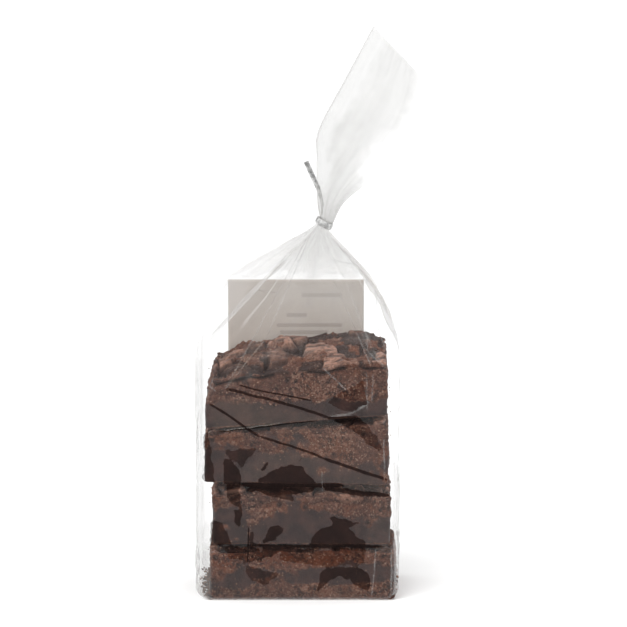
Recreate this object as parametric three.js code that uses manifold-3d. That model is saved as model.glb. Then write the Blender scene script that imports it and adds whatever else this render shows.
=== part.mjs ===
// A clear gusseted bag of four chocolate brownie slabs, stacked flat and closed by a twist tie.
// Below the tie the film wraps the stack as a soft box and then rises in pleats to the neck.
// Above the tie the spare film stands up as a wavy fan that leans to the right.
// Millimetres, +Z up, +X to the right and -Y towards the front. The origin is the middle of the flat base.
import * as THREE from "three";
import { LoftGeometry } from "three/addons/geometries/LoftGeometry.js";
import { mergeVertices } from "three/addons/utils/BufferGeometryUtils.js";
import Module from "manifold-3d";

const { clamp, lerp, smoothstep } = THREE.MathUtils;

// Driving sizes of the bag: a stock film bag, 100 wide with 60 gussets.
const bagWide = 100;
const bagDeep = 61;
const shoulderHigh = 120;
const cornerRound = 5;

// The foot's rounding, seen from the front and from the side, and the heights of its rings.
const footSideRound = 6;
const footFrontRound = 1.6;
const footRingHeights = [0, 0.5, 1.6, 3.4];

// Where one slab ends and the next begins, from the bottom up, and how the top joint climbs to the right.
// The film sinks in there, less at the sides than in front, and stands a little proud between the joints.
const joints = [27, 58, 88.5];
const topJointClimb = 7;
const jointDepth = 1.3;
const jointHalfHigh = 2.5;
const sideSinkShare = 0.6;
const slabBulge = 0.5;
const slabRingShares = [0, 0.1, 0.36, 0.64, 0.9];

// The gathered neck: an oval bundle of film whose plane dips to the right.
const neckCentre = new THREE.Vector3(13.2, 0, 182.4);
const neckDip = THREE.MathUtils.degToRad(28);
const neckHalfWide = 3.6;
const neckHalfDeep = 3.3;
const neckHalfLong = 2.2;

// The label stuck to the back keeps the film behind it flat up to its top edge.
const labelWide = 68;
const labelCentre = -1;
const labelTop = 150;
const labelHigh = 88;
const labelThick = 0.4;
const touchGap = 0.3;
const filmBesideLabel = 3;
const filmOverLabel = 1;

// The fan above the tie, by its left and right edges in the plane Y = 0.
const fanLeftEdge = [
  [9.6, 185],
  [9.4, 197],
  [9.3, 214],
  [10.2, 228.5],
  [23.2, 253.5],
  [37, 279.2],
];
const fanRightEdge = [
  [17.4, 181],
  [22.6, 192.5],
  [36.5, 203.5],
  [53.5, 211.5],
  [66.4, 230],
  [66, 248.5],
];
const fanHalfThick = 1.7;
const fanEdgeThin = 0.45;
const fanPleatDeep = 3.4;
const fanRings = 18;

// The tent between the shoulder and the neck, by shares of its rise. The film behind the label is upright
// for the first stretch of it. The right side bulges out, and so does the front, by a share of its depth.
const tentRings = [0.03, 0.1, 0.2, 0.3, 0.4, 0.46, 0.54, 0.64, 0.74, 0.83, 0.91, 0.96, 1];
const uprightRise = 0.46;
const pleatDeep = 3.6;
const pleatAtNeck = 0.35;
const rightSideBulge = 7;
const frontBulgeShare = 0.12;

// Where across the bag the right bulge begins, and where through its depth the upright back begins.
const bulgeFromX = -10;
const backFromY = -6;

// Pleats of the tent run down over the front of the top slab, this deep and this far under the shoulder.
const frontPinchDeep = 0.9;
const frontPinchLong = 21;
const frontPinchEndRise = 0.25;

// The twist tie: a foil band round the neck and the two ends of it twisted together.
const tieWide = 3.2;
const tieThick = 0.65;
const tailWide = 2.3;
const tailThick = 1.2;
const tailTurns = 0.3;
const tailRoute = [
  [10.4, 3.3, 184.3],
  [10.7, 5, 189.5],
  [10.2, 5.3, 196],
  [8.2, 4.6, 203.3],
  [4.1, 3.4, 212.6],
];

// The film's four panels, anticlockwise from above. Each fold is a share of the panel's width and a height.
const panelFolds = {
  front: [
    [0, 1],
    [0.08, -0.6],
    [0.14, 0.9],
    [0.2, -0.5],
    [0.34, 0.35],
    [0.5, -0.3],
    [0.66, 0.4],
    [0.8, -0.5],
    [0.87, 0.9],
    [0.93, -0.7],
    [1, 1],
  ],
  right: [
    [0, 1],
    [0.2, -0.4],
    [0.35, 0.5],
    [0.5, -1.6],
    [0.65, 0.5],
    [0.8, -0.4],
    [1, 1],
  ],
  back: [
    [0, 1],
    [0.12, -0.6],
    [0.25, 0.5],
    [0.4, -0.4],
    [0.5, 0.3],
    [0.6, -0.4],
    [0.75, 0.5],
    [0.88, -0.6],
    [1, 1],
  ],
  left: [
    [0, 1],
    [0.18, -0.4],
    [0.35, 0.5],
    [0.5, -1.8],
    [0.65, 0.5],
    [0.8, -0.4],
    [1, 1],
  ],
};

// The fan's folds, as shares of its width from left to right and their depths.
const fanFolds = [
  [0, 0.2],
  [0.2, 0.9],
  [0.42, -0.8],
  [0.62, 0.75],
  [0.82, -0.85],
  [1, 0.2],
];
const stepsPerFold = 2;

// Every sample round the film: its panel, its share along that panel and its height in the pleats' zigzag.
function filmSamples() {
  const samples = [];
  for (const [side, folds] of Object.entries(panelFolds)) {
    for (let i = 0; i < folds.length - 1; i++) {
      const [[startShare, startHeight], [endShare, endHeight]] = [folds[i], folds[i + 1]];
      for (let step = 0; step < stepsPerFold; step++) {
        const part = step / stepsPerFold;
        const share = lerp(startShare, endShare, part);
        samples.push({ side, share, pleat: lerp(startHeight, endHeight, part) });
      }
    }
  }
  return samples;
}

const samples = filmSamples();

// A point of the sharp rectangle that the film makes round the stack, by panel and share.
function rectanglePoint(side, share) {
  const x = bagWide / 2;
  const y = bagDeep / 2;
  if (side === "front") return new THREE.Vector2(lerp(-x, x, share), -y);
  if (side === "right") return new THREE.Vector2(x, lerp(-y, y, share));
  if (side === "back") return new THREE.Vector2(lerp(x, -x, share), y);
  return new THREE.Vector2(-x, lerp(y, -y, share));
}

// The same point with the rectangle's corners rounded and the whole outline drawn in by an inset.
function outlinePoint({ side, share }, inset = 0) {
  const sharp = rectanglePoint(side, share);
  const core = new THREE.Vector2(
    clamp(sharp.x, -bagWide / 2 + cornerRound, bagWide / 2 - cornerRound),
    clamp(sharp.y, -bagDeep / 2 + cornerRound, bagDeep / 2 - cornerRound),
  );
  const outward = sharp.clone().sub(core);
  return core.add(outward.setLength(cornerRound - inset));
}

// How far the top joint, and the film on it, is raised at x. The raise fades out over the slabs next to it.
function climbAt(x, z) {
  const near = clamp(1 - Math.abs(z - joints[2]) / (joints[2] - joints[1]), 0, 1);
  return (x / bagWide) * topJointClimb * near;
}

// The film's inward sink at a height: deep at the joints, and slightly proud across each slab.
function sinkAt(z) {
  const floors = [0, ...joints, shoulderHigh];
  const slab = floors.findIndex((floor, i) => z >= floor && z <= floors[i + 1]);
  const share = (z - floors[slab]) / (floors[slab + 1] - floors[slab]);
  const nearest = Math.min(...joints.map((joint) => Math.abs(z - joint)));
  return jointDepth * clamp(1 - nearest / jointHalfHigh, 0, 1) - slabBulge * Math.sin(Math.PI * share);
}

// How far a rounded foot draws the film in at a height.
function footInset(round, z) {
  const below = Math.max(0, round - z);
  return round - Math.sqrt(round * round - below * below);
}

// One ring of film round the stack.
function stackRing(z) {
  const narrow = 1 - footInset(footSideRound, z) / (bagWide / 2);
  const shallow = 1 - footInset(footFrontRound, z) / (bagDeep / 2);
  const pinch = frontPinchDeep * smoothstep(z, shoulderHigh - frontPinchLong, shoulderHigh);
  const sink = sinkAt(z);
  const sideSink = sideSinkShare * Math.max(0, sink);
  return samples.map((sample) => {
    const inset = sample.side === "front" ? sink - pinch * sample.pleat : sideSink;
    const point = outlinePoint(sample, inset);
    return new THREE.Vector3(point.x * narrow, point.y * shallow, z + climbAt(point.x, z));
  });
}

// The rings round the stack: the rounded foot, then each joint with the slab above it.
function stackRings() {
  const rings = footRingHeights.map(stackRing);
  const footTop = footRingHeights.at(-1);
  const floors = [0, ...joints, shoulderHigh];
  for (let slab = 0; slab <= joints.length; slab++) {
    for (const share of slabRingShares) {
      const z = lerp(floors[slab], floors[slab + 1], share);
      if (z >= footTop + 0.5) rings.push(stackRing(z));
    }
  }
  return [...rings, stackRing(shoulderHigh)];
}

// A point of the neck's oval, moved along the neck by a distance.
function neckPoint({ side, share }, along) {
  const at = rectanglePoint(side, share);
  const angle = Math.atan2(at.y / bagDeep, at.x / bagWide);
  const right = new THREE.Vector3(Math.cos(neckDip), 0, -Math.sin(neckDip));
  const up = new THREE.Vector3(Math.sin(neckDip), 0, Math.cos(neckDip));
  return neckCentre
    .clone()
    .addScaledVector(right, neckHalfWide * Math.cos(angle))
    .add(new THREE.Vector3(0, neckHalfDeep * Math.sin(angle), 0))
    .addScaledVector(up, along);
}

// The film between the shoulder (rise 0) and the neck (rise 1).
// The front and sides run straight to the neck. The back stays upright behind the label first.
function tentPoint(sample, rise) {
  const corner = outlinePoint(sample);
  const from = new THREE.Vector3(corner.x, corner.y, shoulderHigh);
  const to = neckPoint(sample, -neckHalfLong);
  const straight = from.clone().lerp(to, rise);
  const towardsRight = smoothstep(corner.x, bulgeFromX, bagWide / 2);
  straight.x += rightSideBulge * towardsRight * Math.sin(Math.PI * Math.min(1, rise * 1.05));
  straight.y *= 1 + frontBulgeShare * Math.sin(Math.PI * rise);
  if (sample.side === "front") {
    const pinch = frontPinchDeep * (1 - smoothstep(rise, 0, frontPinchEndRise));
    straight.y -= pinch * sample.pleat;
  }
  const shrink = (labelWide + 2 * filmBesideLabel) / bagWide;
  const shrunk = new THREE.Vector3(corner.x * shrink, corner.y, labelTop + filmOverLabel);
  const behindLabel =
    rise < uprightRise
      ? from.clone().lerp(shrunk, rise / uprightRise)
      : shrunk.clone().lerp(to, (rise - uprightRise) / (1 - uprightRise));
  const backness = smoothstep(corner.y, backFromY, bagDeep / 2 - cornerRound);
  const point = straight.lerp(behindLabel, backness);
  const axis = new THREE.Vector3(lerp(0, neckCentre.x, rise), 0, point.z);
  const outward = point.clone().sub(axis).normalize();
  const labelFlat = rise < uprightRise + 0.02 ? 1 - backness : 1;
  const swell = Math.sin(Math.PI * Math.pow(rise, 0.8)) * pleatDeep + pleatAtNeck * rise;
  return point.addScaledVector(outward, sample.pleat * swell * labelFlat);
}

// The fan's edges as smooth curves. Their share runs from the neck (0) to the cut top (1).
const edgeCurve = (points) =>
  new THREE.CatmullRomCurve3(points.map(([x, z]) => new THREE.Vector3(x, 0, z)));
const leftEdge = edgeCurve(fanLeftEdge);
const rightEdge = edgeCurve(fanRightEdge);

// The share across the fan, from its left edge to its right one, at which a panel's sample lies.
function shareAcross({ side, share }) {
  if (side === "front") return share;
  if (side === "back") return 1 - share;
  return side === "right" ? 1 : 0;
}

// The fan's zigzag depth at a share across it, rounded at each fold.
function fanWave(across) {
  const next = Math.max(
    1,
    fanFolds.findIndex(([share]) => share >= across),
  );
  const [[startShare, startDepth], [endShare, endDepth]] = [fanFolds[next - 1], fanFolds[next]];
  return lerp(startDepth, endDepth, smoothstep(across, startShare, endShare));
}

// The spare film above the tie, from the neck (rise 0) to the cut edge (rise 1).
function fanPoint(sample, rise) {
  const across = shareAcross(sample);
  const point = leftEdge.getPoint(rise).lerp(rightEdge.getPoint(rise), across);
  const edgeThin = lerp(fanEdgeThin, 1, Math.sin(Math.PI * across));
  const half = fanHalfThick * edgeThin;
  const layer = { front: -1, back: 1, right: lerp(-1, 1, sample.share), left: lerp(1, -1, sample.share) };
  const wave = fanPleatDeep * smoothstep(rise, 0.05, 0.5) * fanWave(across);
  point.y = wave + half * layer[sample.side];
  const round = neckPoint(sample, neckHalfLong);
  return round.lerp(point, smoothstep(rise, 0, 0.2));
}

// The whole bag is one skin of rings from the base to the top of the fan, closed at both ends.
function bagGeometry() {
  const rings = stackRings();
  for (const rise of tentRings) rings.push(samples.map((sample) => tentPoint(sample, rise)));
  rings.push(samples.map((sample) => neckPoint(sample, 0)));
  for (let i = 0; i <= fanRings; i++) {
    rings.push(samples.map((sample) => fanPoint(sample, i / fanRings)));
  }
  return new LoftGeometry(rings, { capStart: true, capEnd: true });
}

const wasm = await Module();
wasm.setup();

// A closed three.js geometry as a solid that can be joined.
function toSolid(geometry) {
  const bare = new THREE.BufferGeometry();
  bare.setAttribute("position", geometry.getAttribute("position"));
  bare.setIndex(geometry.index);
  const merged = mergeVertices(bare, 1e-4);
  return new wasm.Manifold(
    new wasm.Mesh({
      numProp: 3,
      vertProperties: new Float32Array(merged.attributes.position.array),
      triVerts: new Uint32Array(merged.index.array),
    }),
  );
}

// A joined solid as a three.js geometry again.
function toGeometry(solid) {
  const mesh = solid.getMesh();
  const geometry = new THREE.BufferGeometry();
  geometry.setAttribute("position", new THREE.BufferAttribute(mesh.vertProperties, 3));
  geometry.setIndex(new THREE.BufferAttribute(mesh.triVerts, 1));
  geometry.computeVertexNormals();
  return geometry;
}

// The band: a low ring of foil tape, oval like the neck and clear of it all round.
function bandGeometry() {
  const inner = neckHalfWide + touchGap;
  const outer = inner + tieThick;
  const half = tieWide / 2;
  const lip = tieThick / 4;
  const profile = [
    [inner, -half + lip],
    [inner + lip, -half],
    [outer - lip, -half],
    [outer, -half + lip],
    [outer, half - lip],
    [outer - lip, half],
    [inner + lip, half],
    [inner, half - lip],
    [inner, -half + lip],
  ].map(([radius, height]) => new THREE.Vector2(radius, height));
  const deepShare = (neckHalfDeep + touchGap) / inner;
  return new THREE.LatheGeometry(profile, 32)
    .rotateX(Math.PI / 2)
    .scale(1, deepShare, 1)
    .rotateY(neckDip)
    .translate(neckCentre.x, neckCentre.y, neckCentre.z);
}

// The tail: the two ends of the tie as one flat strip that turns about its own route.
function tailGeometry() {
  const route = new THREE.CatmullRomCurve3(tailRoute.map((point) => new THREE.Vector3(...point)));
  const steps = 28;
  const sections = [];
  for (let i = 0; i <= steps; i++) {
    const share = i / steps;
    const along = route.getTangent(share);
    const side = new THREE.Vector3(1, 0, 0).cross(along).normalize();
    const turn = share * tailTurns * 2 * Math.PI;
    side.applyAxisAngle(along, turn);
    const other = along.clone().cross(side);
    const section = [];
    for (let k = 0; k < 8; k++) {
      const angle = (k / 8) * 2 * Math.PI;
      section.push(
        route
          .getPoint(share)
          .addScaledVector(side, (Math.cos(angle) * tailWide) / 2)
          .addScaledVector(other, (Math.sin(angle) * tailThick) / 2),
      );
    }
    sections.push(section);
  }
  return new LoftGeometry(sections, { capStart: true, capEnd: true });
}

function material(colour, roughness, metalness = 0) {
  return new THREE.MeshStandardMaterial({ color: colour, roughness, metalness });
}

function piece(name, geometry, look) {
  const mesh = new THREE.Mesh(geometry, look);
  mesh.name = name;
  return mesh;
}

const model = new THREE.Group();

model.add(piece("bag", bagGeometry(), material(0x5a4640, 0.35)));

const tie = toSolid(bandGeometry()).add(toSolid(tailGeometry()));
model.add(piece("twist_tie", toGeometry(tie), material(0xc4c3c0, 0.3, 0.8)));

const label = piece(
  "label",
  new THREE.BoxGeometry(labelWide, labelThick, labelHigh),
  material(0xd9d3cb, 0.8),
);
label.position.set(labelCentre, bagDeep / 2 + touchGap + labelThick / 2, labelTop - labelHigh / 2);
model.add(label);

export default model;
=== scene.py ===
"""A clear gusseted bag of four chocolate brownies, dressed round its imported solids.

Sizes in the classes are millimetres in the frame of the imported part. They turn into metres when a mesh is
written. The front of the bag looks towards -Y and its base stands at Z = 0.
"""

import logging
import math
import random
from dataclasses import dataclass, field
from enum import Enum
from typing import Callable, Sequence

import bmesh
import bpy
from mathutils import Matrix, Vector, noise

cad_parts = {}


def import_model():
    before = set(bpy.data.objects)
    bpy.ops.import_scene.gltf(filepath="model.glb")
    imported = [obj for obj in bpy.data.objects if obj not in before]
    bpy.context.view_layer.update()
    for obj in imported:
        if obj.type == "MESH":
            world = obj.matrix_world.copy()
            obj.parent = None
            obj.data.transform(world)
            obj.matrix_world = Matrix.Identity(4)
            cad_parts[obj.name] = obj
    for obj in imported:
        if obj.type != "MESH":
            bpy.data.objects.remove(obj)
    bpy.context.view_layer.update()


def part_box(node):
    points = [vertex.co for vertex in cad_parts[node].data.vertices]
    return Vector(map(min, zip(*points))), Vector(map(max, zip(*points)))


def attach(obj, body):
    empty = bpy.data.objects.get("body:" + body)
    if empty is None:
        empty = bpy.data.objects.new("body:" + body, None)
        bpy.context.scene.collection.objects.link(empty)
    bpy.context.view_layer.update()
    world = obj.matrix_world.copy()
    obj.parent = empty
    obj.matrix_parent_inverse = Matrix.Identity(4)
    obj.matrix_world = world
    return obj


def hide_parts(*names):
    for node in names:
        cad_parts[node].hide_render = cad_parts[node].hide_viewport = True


MILLIMETRE = 0.001
NOISE_SEED = 4
log = logging.getLogger("brownie_bag")

Knot = tuple[float, float]
Socket = bpy.types.NodeSocket
Finishes = Sequence[bpy.types.Material]
Value = float | Sequence[float] | Socket


def mix(low: float, high: float, share: float) -> float:
    """Returns the value that lies a share of the way from low to high."""
    return low + (high - low) * share


def ease(value: float, start: float, end: float) -> float:
    """Returns 0 before start, 1 after end and a smooth rise between them."""
    share = min(1.0, max(0.0, (value - start) / (end - start)))
    return share * share * (3 - 2 * share)


def follow(knots: Sequence[Knot], place: float) -> float:
    """Reads a broken line at a place.

    Args:
        knots: (place, height) pairs in rising order of place.
        place: where to read it.

    Returns:
        The height on the line, held level past its ends.
    """
    if place <= knots[0][0]:
        return knots[0][1]
    for (start, low), (end, high) in zip(knots, knots[1:]):
        if place <= end:
            return mix(low, high, (place - start) / (end - start))
    return knots[-1][1]


class Panel(Enum):
    """The four panels of film round the stack, anticlockwise from above."""

    FRONT = "front"
    RIGHT = "right"
    BACK = "back"
    LEFT = "left"


class NodeTree:
    """Adds nodes to one shader tree and joins them."""

    def __init__(self, tree: bpy.types.NodeTree) -> None:
        """Keeps the tree that nodes are added to."""
        self.tree = tree

    def add(self, kind: str, inputs: dict | None = None, **settings: object) -> bpy.types.Node:
        """Adds a node.

        Args:
            kind: the node's type name, without the ShaderNode prefix.
            inputs: values or output sockets, by the input's name or number.
            **settings: properties of the node.

        Returns:
            The new node.
        """
        node = self.tree.nodes.new("ShaderNode" + kind)
        for name, value in settings.items():
            setattr(node, name, value)
        for key, value in (inputs or {}).items():
            socket = node.inputs[key]
            if isinstance(value, Socket):
                self.join(value, socket)
            else:
                socket.default_value = value
        return node

    def join(self, source: Socket, target: Socket) -> None:
        """Links an output to an input."""
        self.tree.links.new(source, target)

    def place(self) -> Socket:
        """Returns the object coordinates, in metres."""
        return self.add("TexCoord").outputs["Object"]

    def math(self, operation: str, *values: Value) -> Socket:
        """Returns the result of a Math node on the values."""
        return self.add("Math", dict(enumerate(values)), operation=operation).outputs[0]

    def vector(self, operation: str, *values: Value) -> Socket:
        """Returns the result of a Vector Math node on the values."""
        return self.add("VectorMath", dict(enumerate(values)), operation=operation).outputs[0]

    def band(self, value: Value, start: float, end: float, low: float = 0.0, high: float = 1.0) -> Socket:
        """Returns value mapped smoothly from start..end to low..high."""
        inputs = {"Value": value, "From Min": start, "From Max": end, "To Min": low, "To Max": high}
        return self.add("MapRange", inputs, interpolation_type="SMOOTHSTEP").outputs["Result"]

    def blend(self, share: Value, first: Value, second: Value) -> Socket:
        """Returns two colours mixed by a share."""
        node = self.add("Mix", {0: share, 6: first, 7: second}, data_type="RGBA")
        return node.outputs[2]

    def cover(self, share: Value, under: Socket, over: Socket) -> Socket:
        """Returns two shaders mixed by a share."""
        return self.add("MixShader", {0: share, 1: under, 2: over}).outputs[0]

    def noise(
        self, place: Socket, scale: float, detail: float = 3.0, rough: float = 0.55, warp: float = 0.0
    ) -> Socket:
        """Returns the value of a noise pattern at a place."""
        inputs = {"Vector": place, "Scale": scale, "Detail": detail, "Roughness": rough, "Distortion": warp}
        return self.add("TexNoise", inputs).outputs[0]

    def noise_vector(self, place: Socket, scale: float) -> Socket:
        """Returns a noise vector at a place, from about -0.5 to 0.5 each way."""
        colours = self.add("TexNoise", {"Vector": place, "Scale": scale, "Detail": 2.0}).outputs[1]
        return self.vector("SUBTRACT", colours, (0.5, 0.5, 0.5))

    def attribute(self, name: str) -> Socket:
        """Returns the value of a mesh attribute."""
        return self.add("Attribute", attribute_name=name).outputs["Fac"]

    def bump(self, height: Socket, strength: float, distance: float) -> Socket:
        """Returns the normal of a surface with a height pattern."""
        return self.add("Bump", {"Strength": strength, "Distance": distance, "Height": height}).outputs[0]


def colour(red: float, green: float, blue: float) -> tuple[float, float, float, float]:
    """Returns a linear colour with full alpha."""
    return (red, green, blue, 1.0)


def new_group(name: str, inputs: dict[str, str], outputs: dict[str, str]) -> tuple:
    """Starts a shader node group with named sockets.

    Args:
        name: the group's name.
        inputs: socket types by input name.
        outputs: socket types by output name.

    Returns:
        The group, its NodeTree helper, its input node and its output node.
    """
    group = bpy.data.node_groups.new(name, "ShaderNodeTree")
    for in_out, sockets in (("INPUT", inputs), ("OUTPUT", outputs)):
        for label, kind in sockets.items():
            group.interface.new_socket(label, in_out=in_out, socket_type="NodeSocket" + kind)
    start = group.nodes.new("NodeGroupInput")
    end = group.nodes.new("NodeGroupOutput")
    return group, NodeTree(group), start, end


def crumb_grain_group() -> bpy.types.NodeTree:
    """Builds the grain of baked crumb, from two sizes of grains.

    Returns:
        A group that gives Tone, a value for each grain, Speck, a mask of a few pale grains, and Height.
    """
    inputs = {"Vector": "Vector", "Grain Size": "Float"}
    outputs = {"Tone": "Float", "Speck": "Float", "Height": "Float"}
    group, tree, start, end = new_group("crumb_grain", inputs, outputs)
    scale = tree.math("DIVIDE", 1.0, start.outputs["Grain Size"])
    place = start.outputs["Vector"]
    large = tree.add("TexVoronoi", {"Vector": place, "Scale": scale}, feature="F1").outputs
    finer = tree.math("MULTIPLY", scale, 2.3)
    small = tree.add("TexVoronoi", {"Vector": place, "Scale": finer}, feature="F1").outputs
    large_tone = tree.add("SeparateColor", {0: large["Color"]}).outputs[0]
    small_tone = tree.add("SeparateColor", {0: small["Color"]}).outputs[1]
    tone = tree.math("MULTIPLY_ADD", large_tone, 0.55, tree.math("MULTIPLY", small_tone, 0.45))
    edge = tree.band(large["Distance"], 0.75, 0.25)
    speck = tree.math("MULTIPLY", tree.band(small_tone, 0.86, 0.9), tree.band(small["Distance"], 0.5, 0.3))
    small_height = tree.math("SUBTRACT", 1.0, small["Distance"])
    height = tree.math("MULTIPLY_ADD", small_height, 0.35, tree.math("MULTIPLY", edge, 0.65))
    for name, value in (("Tone", tone), ("Speck", speck), ("Height", height)):
        tree.join(value, end.inputs[name])
    return group


def film_crease_group() -> bpy.types.NodeTree:
    """Adds one crease of the front film to the creases before it.

    Returns:
        A group whose Place holds where a point lies across and up, and in Z the creases so far. A crease
        fades away from its long axis, which Bend curves by so many of the crease's widths.
    """
    inputs = {"Place": "Vector", "Middle": "Vector", "Turn": "Vector", "Size": "Vector"}
    inputs |= {"Bend": "Float", "Strength": "Float"}
    group, tree, start, end = new_group("film_crease", inputs, {"Place": "Vector"})
    read = start.outputs
    spot = tree.add("SeparateXYZ", {0: read["Place"]}).outputs
    flat = tree.add("CombineXYZ", {"X": spot["X"], "Y": spot["Y"]}).outputs[0]
    local = {"Vector": flat, "Location": read["Middle"], "Rotation": read["Turn"], "Scale": read["Size"]}
    turned = tree.add("Mapping", local, vector_type="TEXTURE").outputs[0]
    split = tree.add("SeparateXYZ", {0: turned}).outputs
    along = tree.math("MULTIPLY", split["X"], split["X"])
    arc = tree.math("MULTIPLY", tree.math("SUBTRACT", along, 1.0), read["Bend"])
    near = tree.math("SUBTRACT", 1.0, tree.math("ABSOLUTE", tree.math("ADD", split["Y"], arc)))
    line = tree.math("MULTIPLY", tree.math("MAXIMUM", near, 0.0), tree.band(along, 1.0, 0.6))
    marks = tree.math("MULTIPLY_ADD", line, read["Strength"], spot["Z"])
    place = tree.add("CombineXYZ", {"X": spot["X"], "Y": spot["Y"], "Z": marks}).outputs[0]
    tree.join(place, end.inputs["Place"])
    return group


def new_material(name: str) -> tuple[bpy.types.Material, NodeTree, bpy.types.Node]:
    """Starts an empty node material.

    Args:
        name: the material's name.

    Returns:
        The material, its NodeTree helper and its output node.
    """
    material = bpy.data.materials.new(name)
    material.use_nodes = True
    material.node_tree.nodes.clear()
    tree = NodeTree(material.node_tree)
    return material, tree, tree.add("OutputMaterial")


# The deep mark is painted shade in the slabs' pits, clefts, cracks and lowest crumb.
SLAB_MARKS = ("crust", "smear", "deep", "plate", "hot")


@dataclass(frozen=True)
class BrownieFinish:
    """Fudgy chocolate crumb with a thin crackled crust, with painted shade in its recesses. Colours are
    linear.
    """

    fudge: tuple = colour(0.017, 0.0066, 0.0054)
    smooth_crumb: tuple = colour(0.042, 0.0172, 0.0135)
    dark_crumb: tuple = colour(0.022, 0.0082, 0.0055)
    crumb: tuple = colour(0.087, 0.0345, 0.0225)
    warm_crumb: tuple = colour(0.108, 0.0355, 0.0165)
    hot_crumb: tuple = colour(0.105, 0.028, 0.0105)
    pale_crumb: tuple = colour(0.22, 0.12, 0.086)
    crust: tuple = colour(0.29, 0.15, 0.105)
    crust_dark: tuple = colour(0.03, 0.0118, 0.008)
    speck: tuple = colour(0.34, 0.225, 0.165)
    grain_size: float = 0.0015
    grain_wobble: float = 0.0012
    wobble_scale: float = 700.0
    tone_scale: float = 85.0
    warm_scale: float = 45.0
    contrast_scale: float = 62.0
    smear_scale: float = 130.0
    vein_scale: float = 95.0
    relief: float = 0.0007

    def build(self, grain: bpy.types.NodeTree) -> bpy.types.Material:
        """Builds the material.

        Args:
            grain: the crumb_grain group.

        Returns:
            A material that reads the slab's crust, smear, deep, plate and hot attributes; deep darkens the
            recesses with painted shade.
        """
        material, tree, output = new_material("brownie")
        place = tree.place()
        crust, smear, deep, plate, hot = (tree.attribute(name) for name in SLAB_MARKS)
        waver = tree.noise_vector(place, self.wobble_scale)
        wobble = tree.vector("MULTIPLY", waver, (self.grain_wobble,) * 3)
        wobbly = tree.vector("ADD", place, wobble)
        grains = tree.add("Group", node_tree=grain)
        tree.join(wobbly, grains.inputs["Vector"])
        grains.inputs["Grain Size"].default_value = self.grain_size
        tone = grains.outputs["Tone"]
        broad = tree.noise(place, self.tone_scale, detail=4.0, rough=0.6)
        tone = tree.math("ADD", tone, tree.math("MULTIPLY_ADD", broad, 1.0, -0.5))
        warm = tree.band(tree.noise(place, self.warm_scale), 0.42, 0.62)
        crumbly = tree.blend(hot, tree.blend(warm, self.crumb, self.warm_crumb), self.hot_crumb)
        raw = tree.band(tree.noise(place, self.contrast_scale, detail=2.0), 0.44, 0.6, 0.4, 1.0)
        dark = tree.math("MULTIPLY", tree.band(tone, 0.5, 0.2), raw)
        pale = tree.math("MULTIPLY", tree.band(tone, 0.56, 0.86, 0.0, 0.75), raw)
        pale = tree.math("MULTIPLY", pale, tree.math("MULTIPLY_ADD", hot, -0.7, 1.0))
        crumbly = tree.blend(pale, tree.blend(dark, crumbly, self.dark_crumb), self.pale_crumb)
        smooth = tree.band(tree.noise(place, self.smear_scale, detail=6.0, rough=0.6), 0.36, 0.66)
        body = tree.blend(smear, crumbly, tree.blend(smooth, self.fudge, self.smooth_crumb))
        veins = tree.noise(place, self.vein_scale, detail=4.0, rough=0.58, warp=0.8)
        light = tree.band(tree.math("MULTIPLY_ADD", plate, 1.3, veins), 1.12, 1.62)
        skin = tree.blend(light, self.crust_dark, self.crust)
        skin = tree.blend(tree.band(tone, 0.5, 0.15, 0.0, 0.6), skin, self.crust_dark)
        body = tree.blend(crust, body, skin)
        speck = tree.math("MULTIPLY", grains.outputs["Speck"], tree.math("MULTIPLY_ADD", smear, -0.7, 0.8))
        body = tree.blend(speck, body, self.speck)
        # Painted shade: the recesses that deep marks are darkened towards fudge.
        body = tree.blend(tree.math("MULTIPLY", deep, 0.92), body, self.fudge)
        rough = tree.math("MULTIPLY_ADD", smear, -0.3, 0.8)
        rough = tree.math("MULTIPLY_ADD", tree.math("MULTIPLY", crust, light), -0.3, rough)
        lift = tree.math("MULTIPLY_ADD", smear, -0.8, 1.0)
        lift = tree.math("MULTIPLY", lift, tree.math("MULTIPLY_ADD", crust, -0.6, 1.0))
        height = tree.math("MULTIPLY", grains.outputs["Height"], lift)
        bump = tree.bump(height, 0.8, self.relief)
        shader = tree.add("BsdfPrincipled", {"Base Color": body, "Roughness": rough, "Normal": bump})
        shader.inputs["Specular IOR Level"].default_value = 0.4
        tree.join(shader.outputs[0], output.inputs["Surface"])
        return material


@dataclass(frozen=True)
class CrumbFinish:
    """Loose crumbs, a little paler than the cut crumb."""

    dark: tuple = colour(0.035, 0.014, 0.009)
    pale: tuple = colour(0.26, 0.145, 0.098)
    grain_size: float = 0.0006
    tone_scale: float = 420.0
    relief: float = 0.0003

    def build(self, grain: bpy.types.NodeTree) -> bpy.types.Material:
        """Builds the material.

        Args:
            grain: the crumb_grain group.

        Returns:
            The finished material.
        """
        material, tree, output = new_material("loose_crumb")
        place = tree.place()
        grains = tree.add("Group", {"Vector": place, "Grain Size": self.grain_size}, node_tree=grain)
        tone = tree.band(tree.noise(place, self.tone_scale, detail=2.0), 0.36, 0.68)
        shade = tree.blend(tone, self.dark, self.pale)
        shade = tree.blend(tree.band(grains.outputs["Tone"], 0.6, 0.2, 0.0, 0.6), shade, self.dark)
        bump = tree.bump(grains.outputs["Height"], 0.5, self.relief)
        shader = tree.add("BsdfPrincipled", {"Base Color": shade, "Roughness": 0.85, "Normal": bump})
        tree.join(shader.outputs[0], output.inputs["Surface"])
        return material


class Side(Enum):
    """Which film a finish is for."""

    PLAIN = "plain"
    FRONT = "front"
    LINING = "lining"


class Crease(Enum):
    """How a crease in the film looks over dark crumb. A dark crease is partly film pressed into the greasy
    crumb and partly painted shade; a pale one is whitened film with a painted highlight.
    """

    BRIGHT = "bright"
    DARK = "dark"


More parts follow.
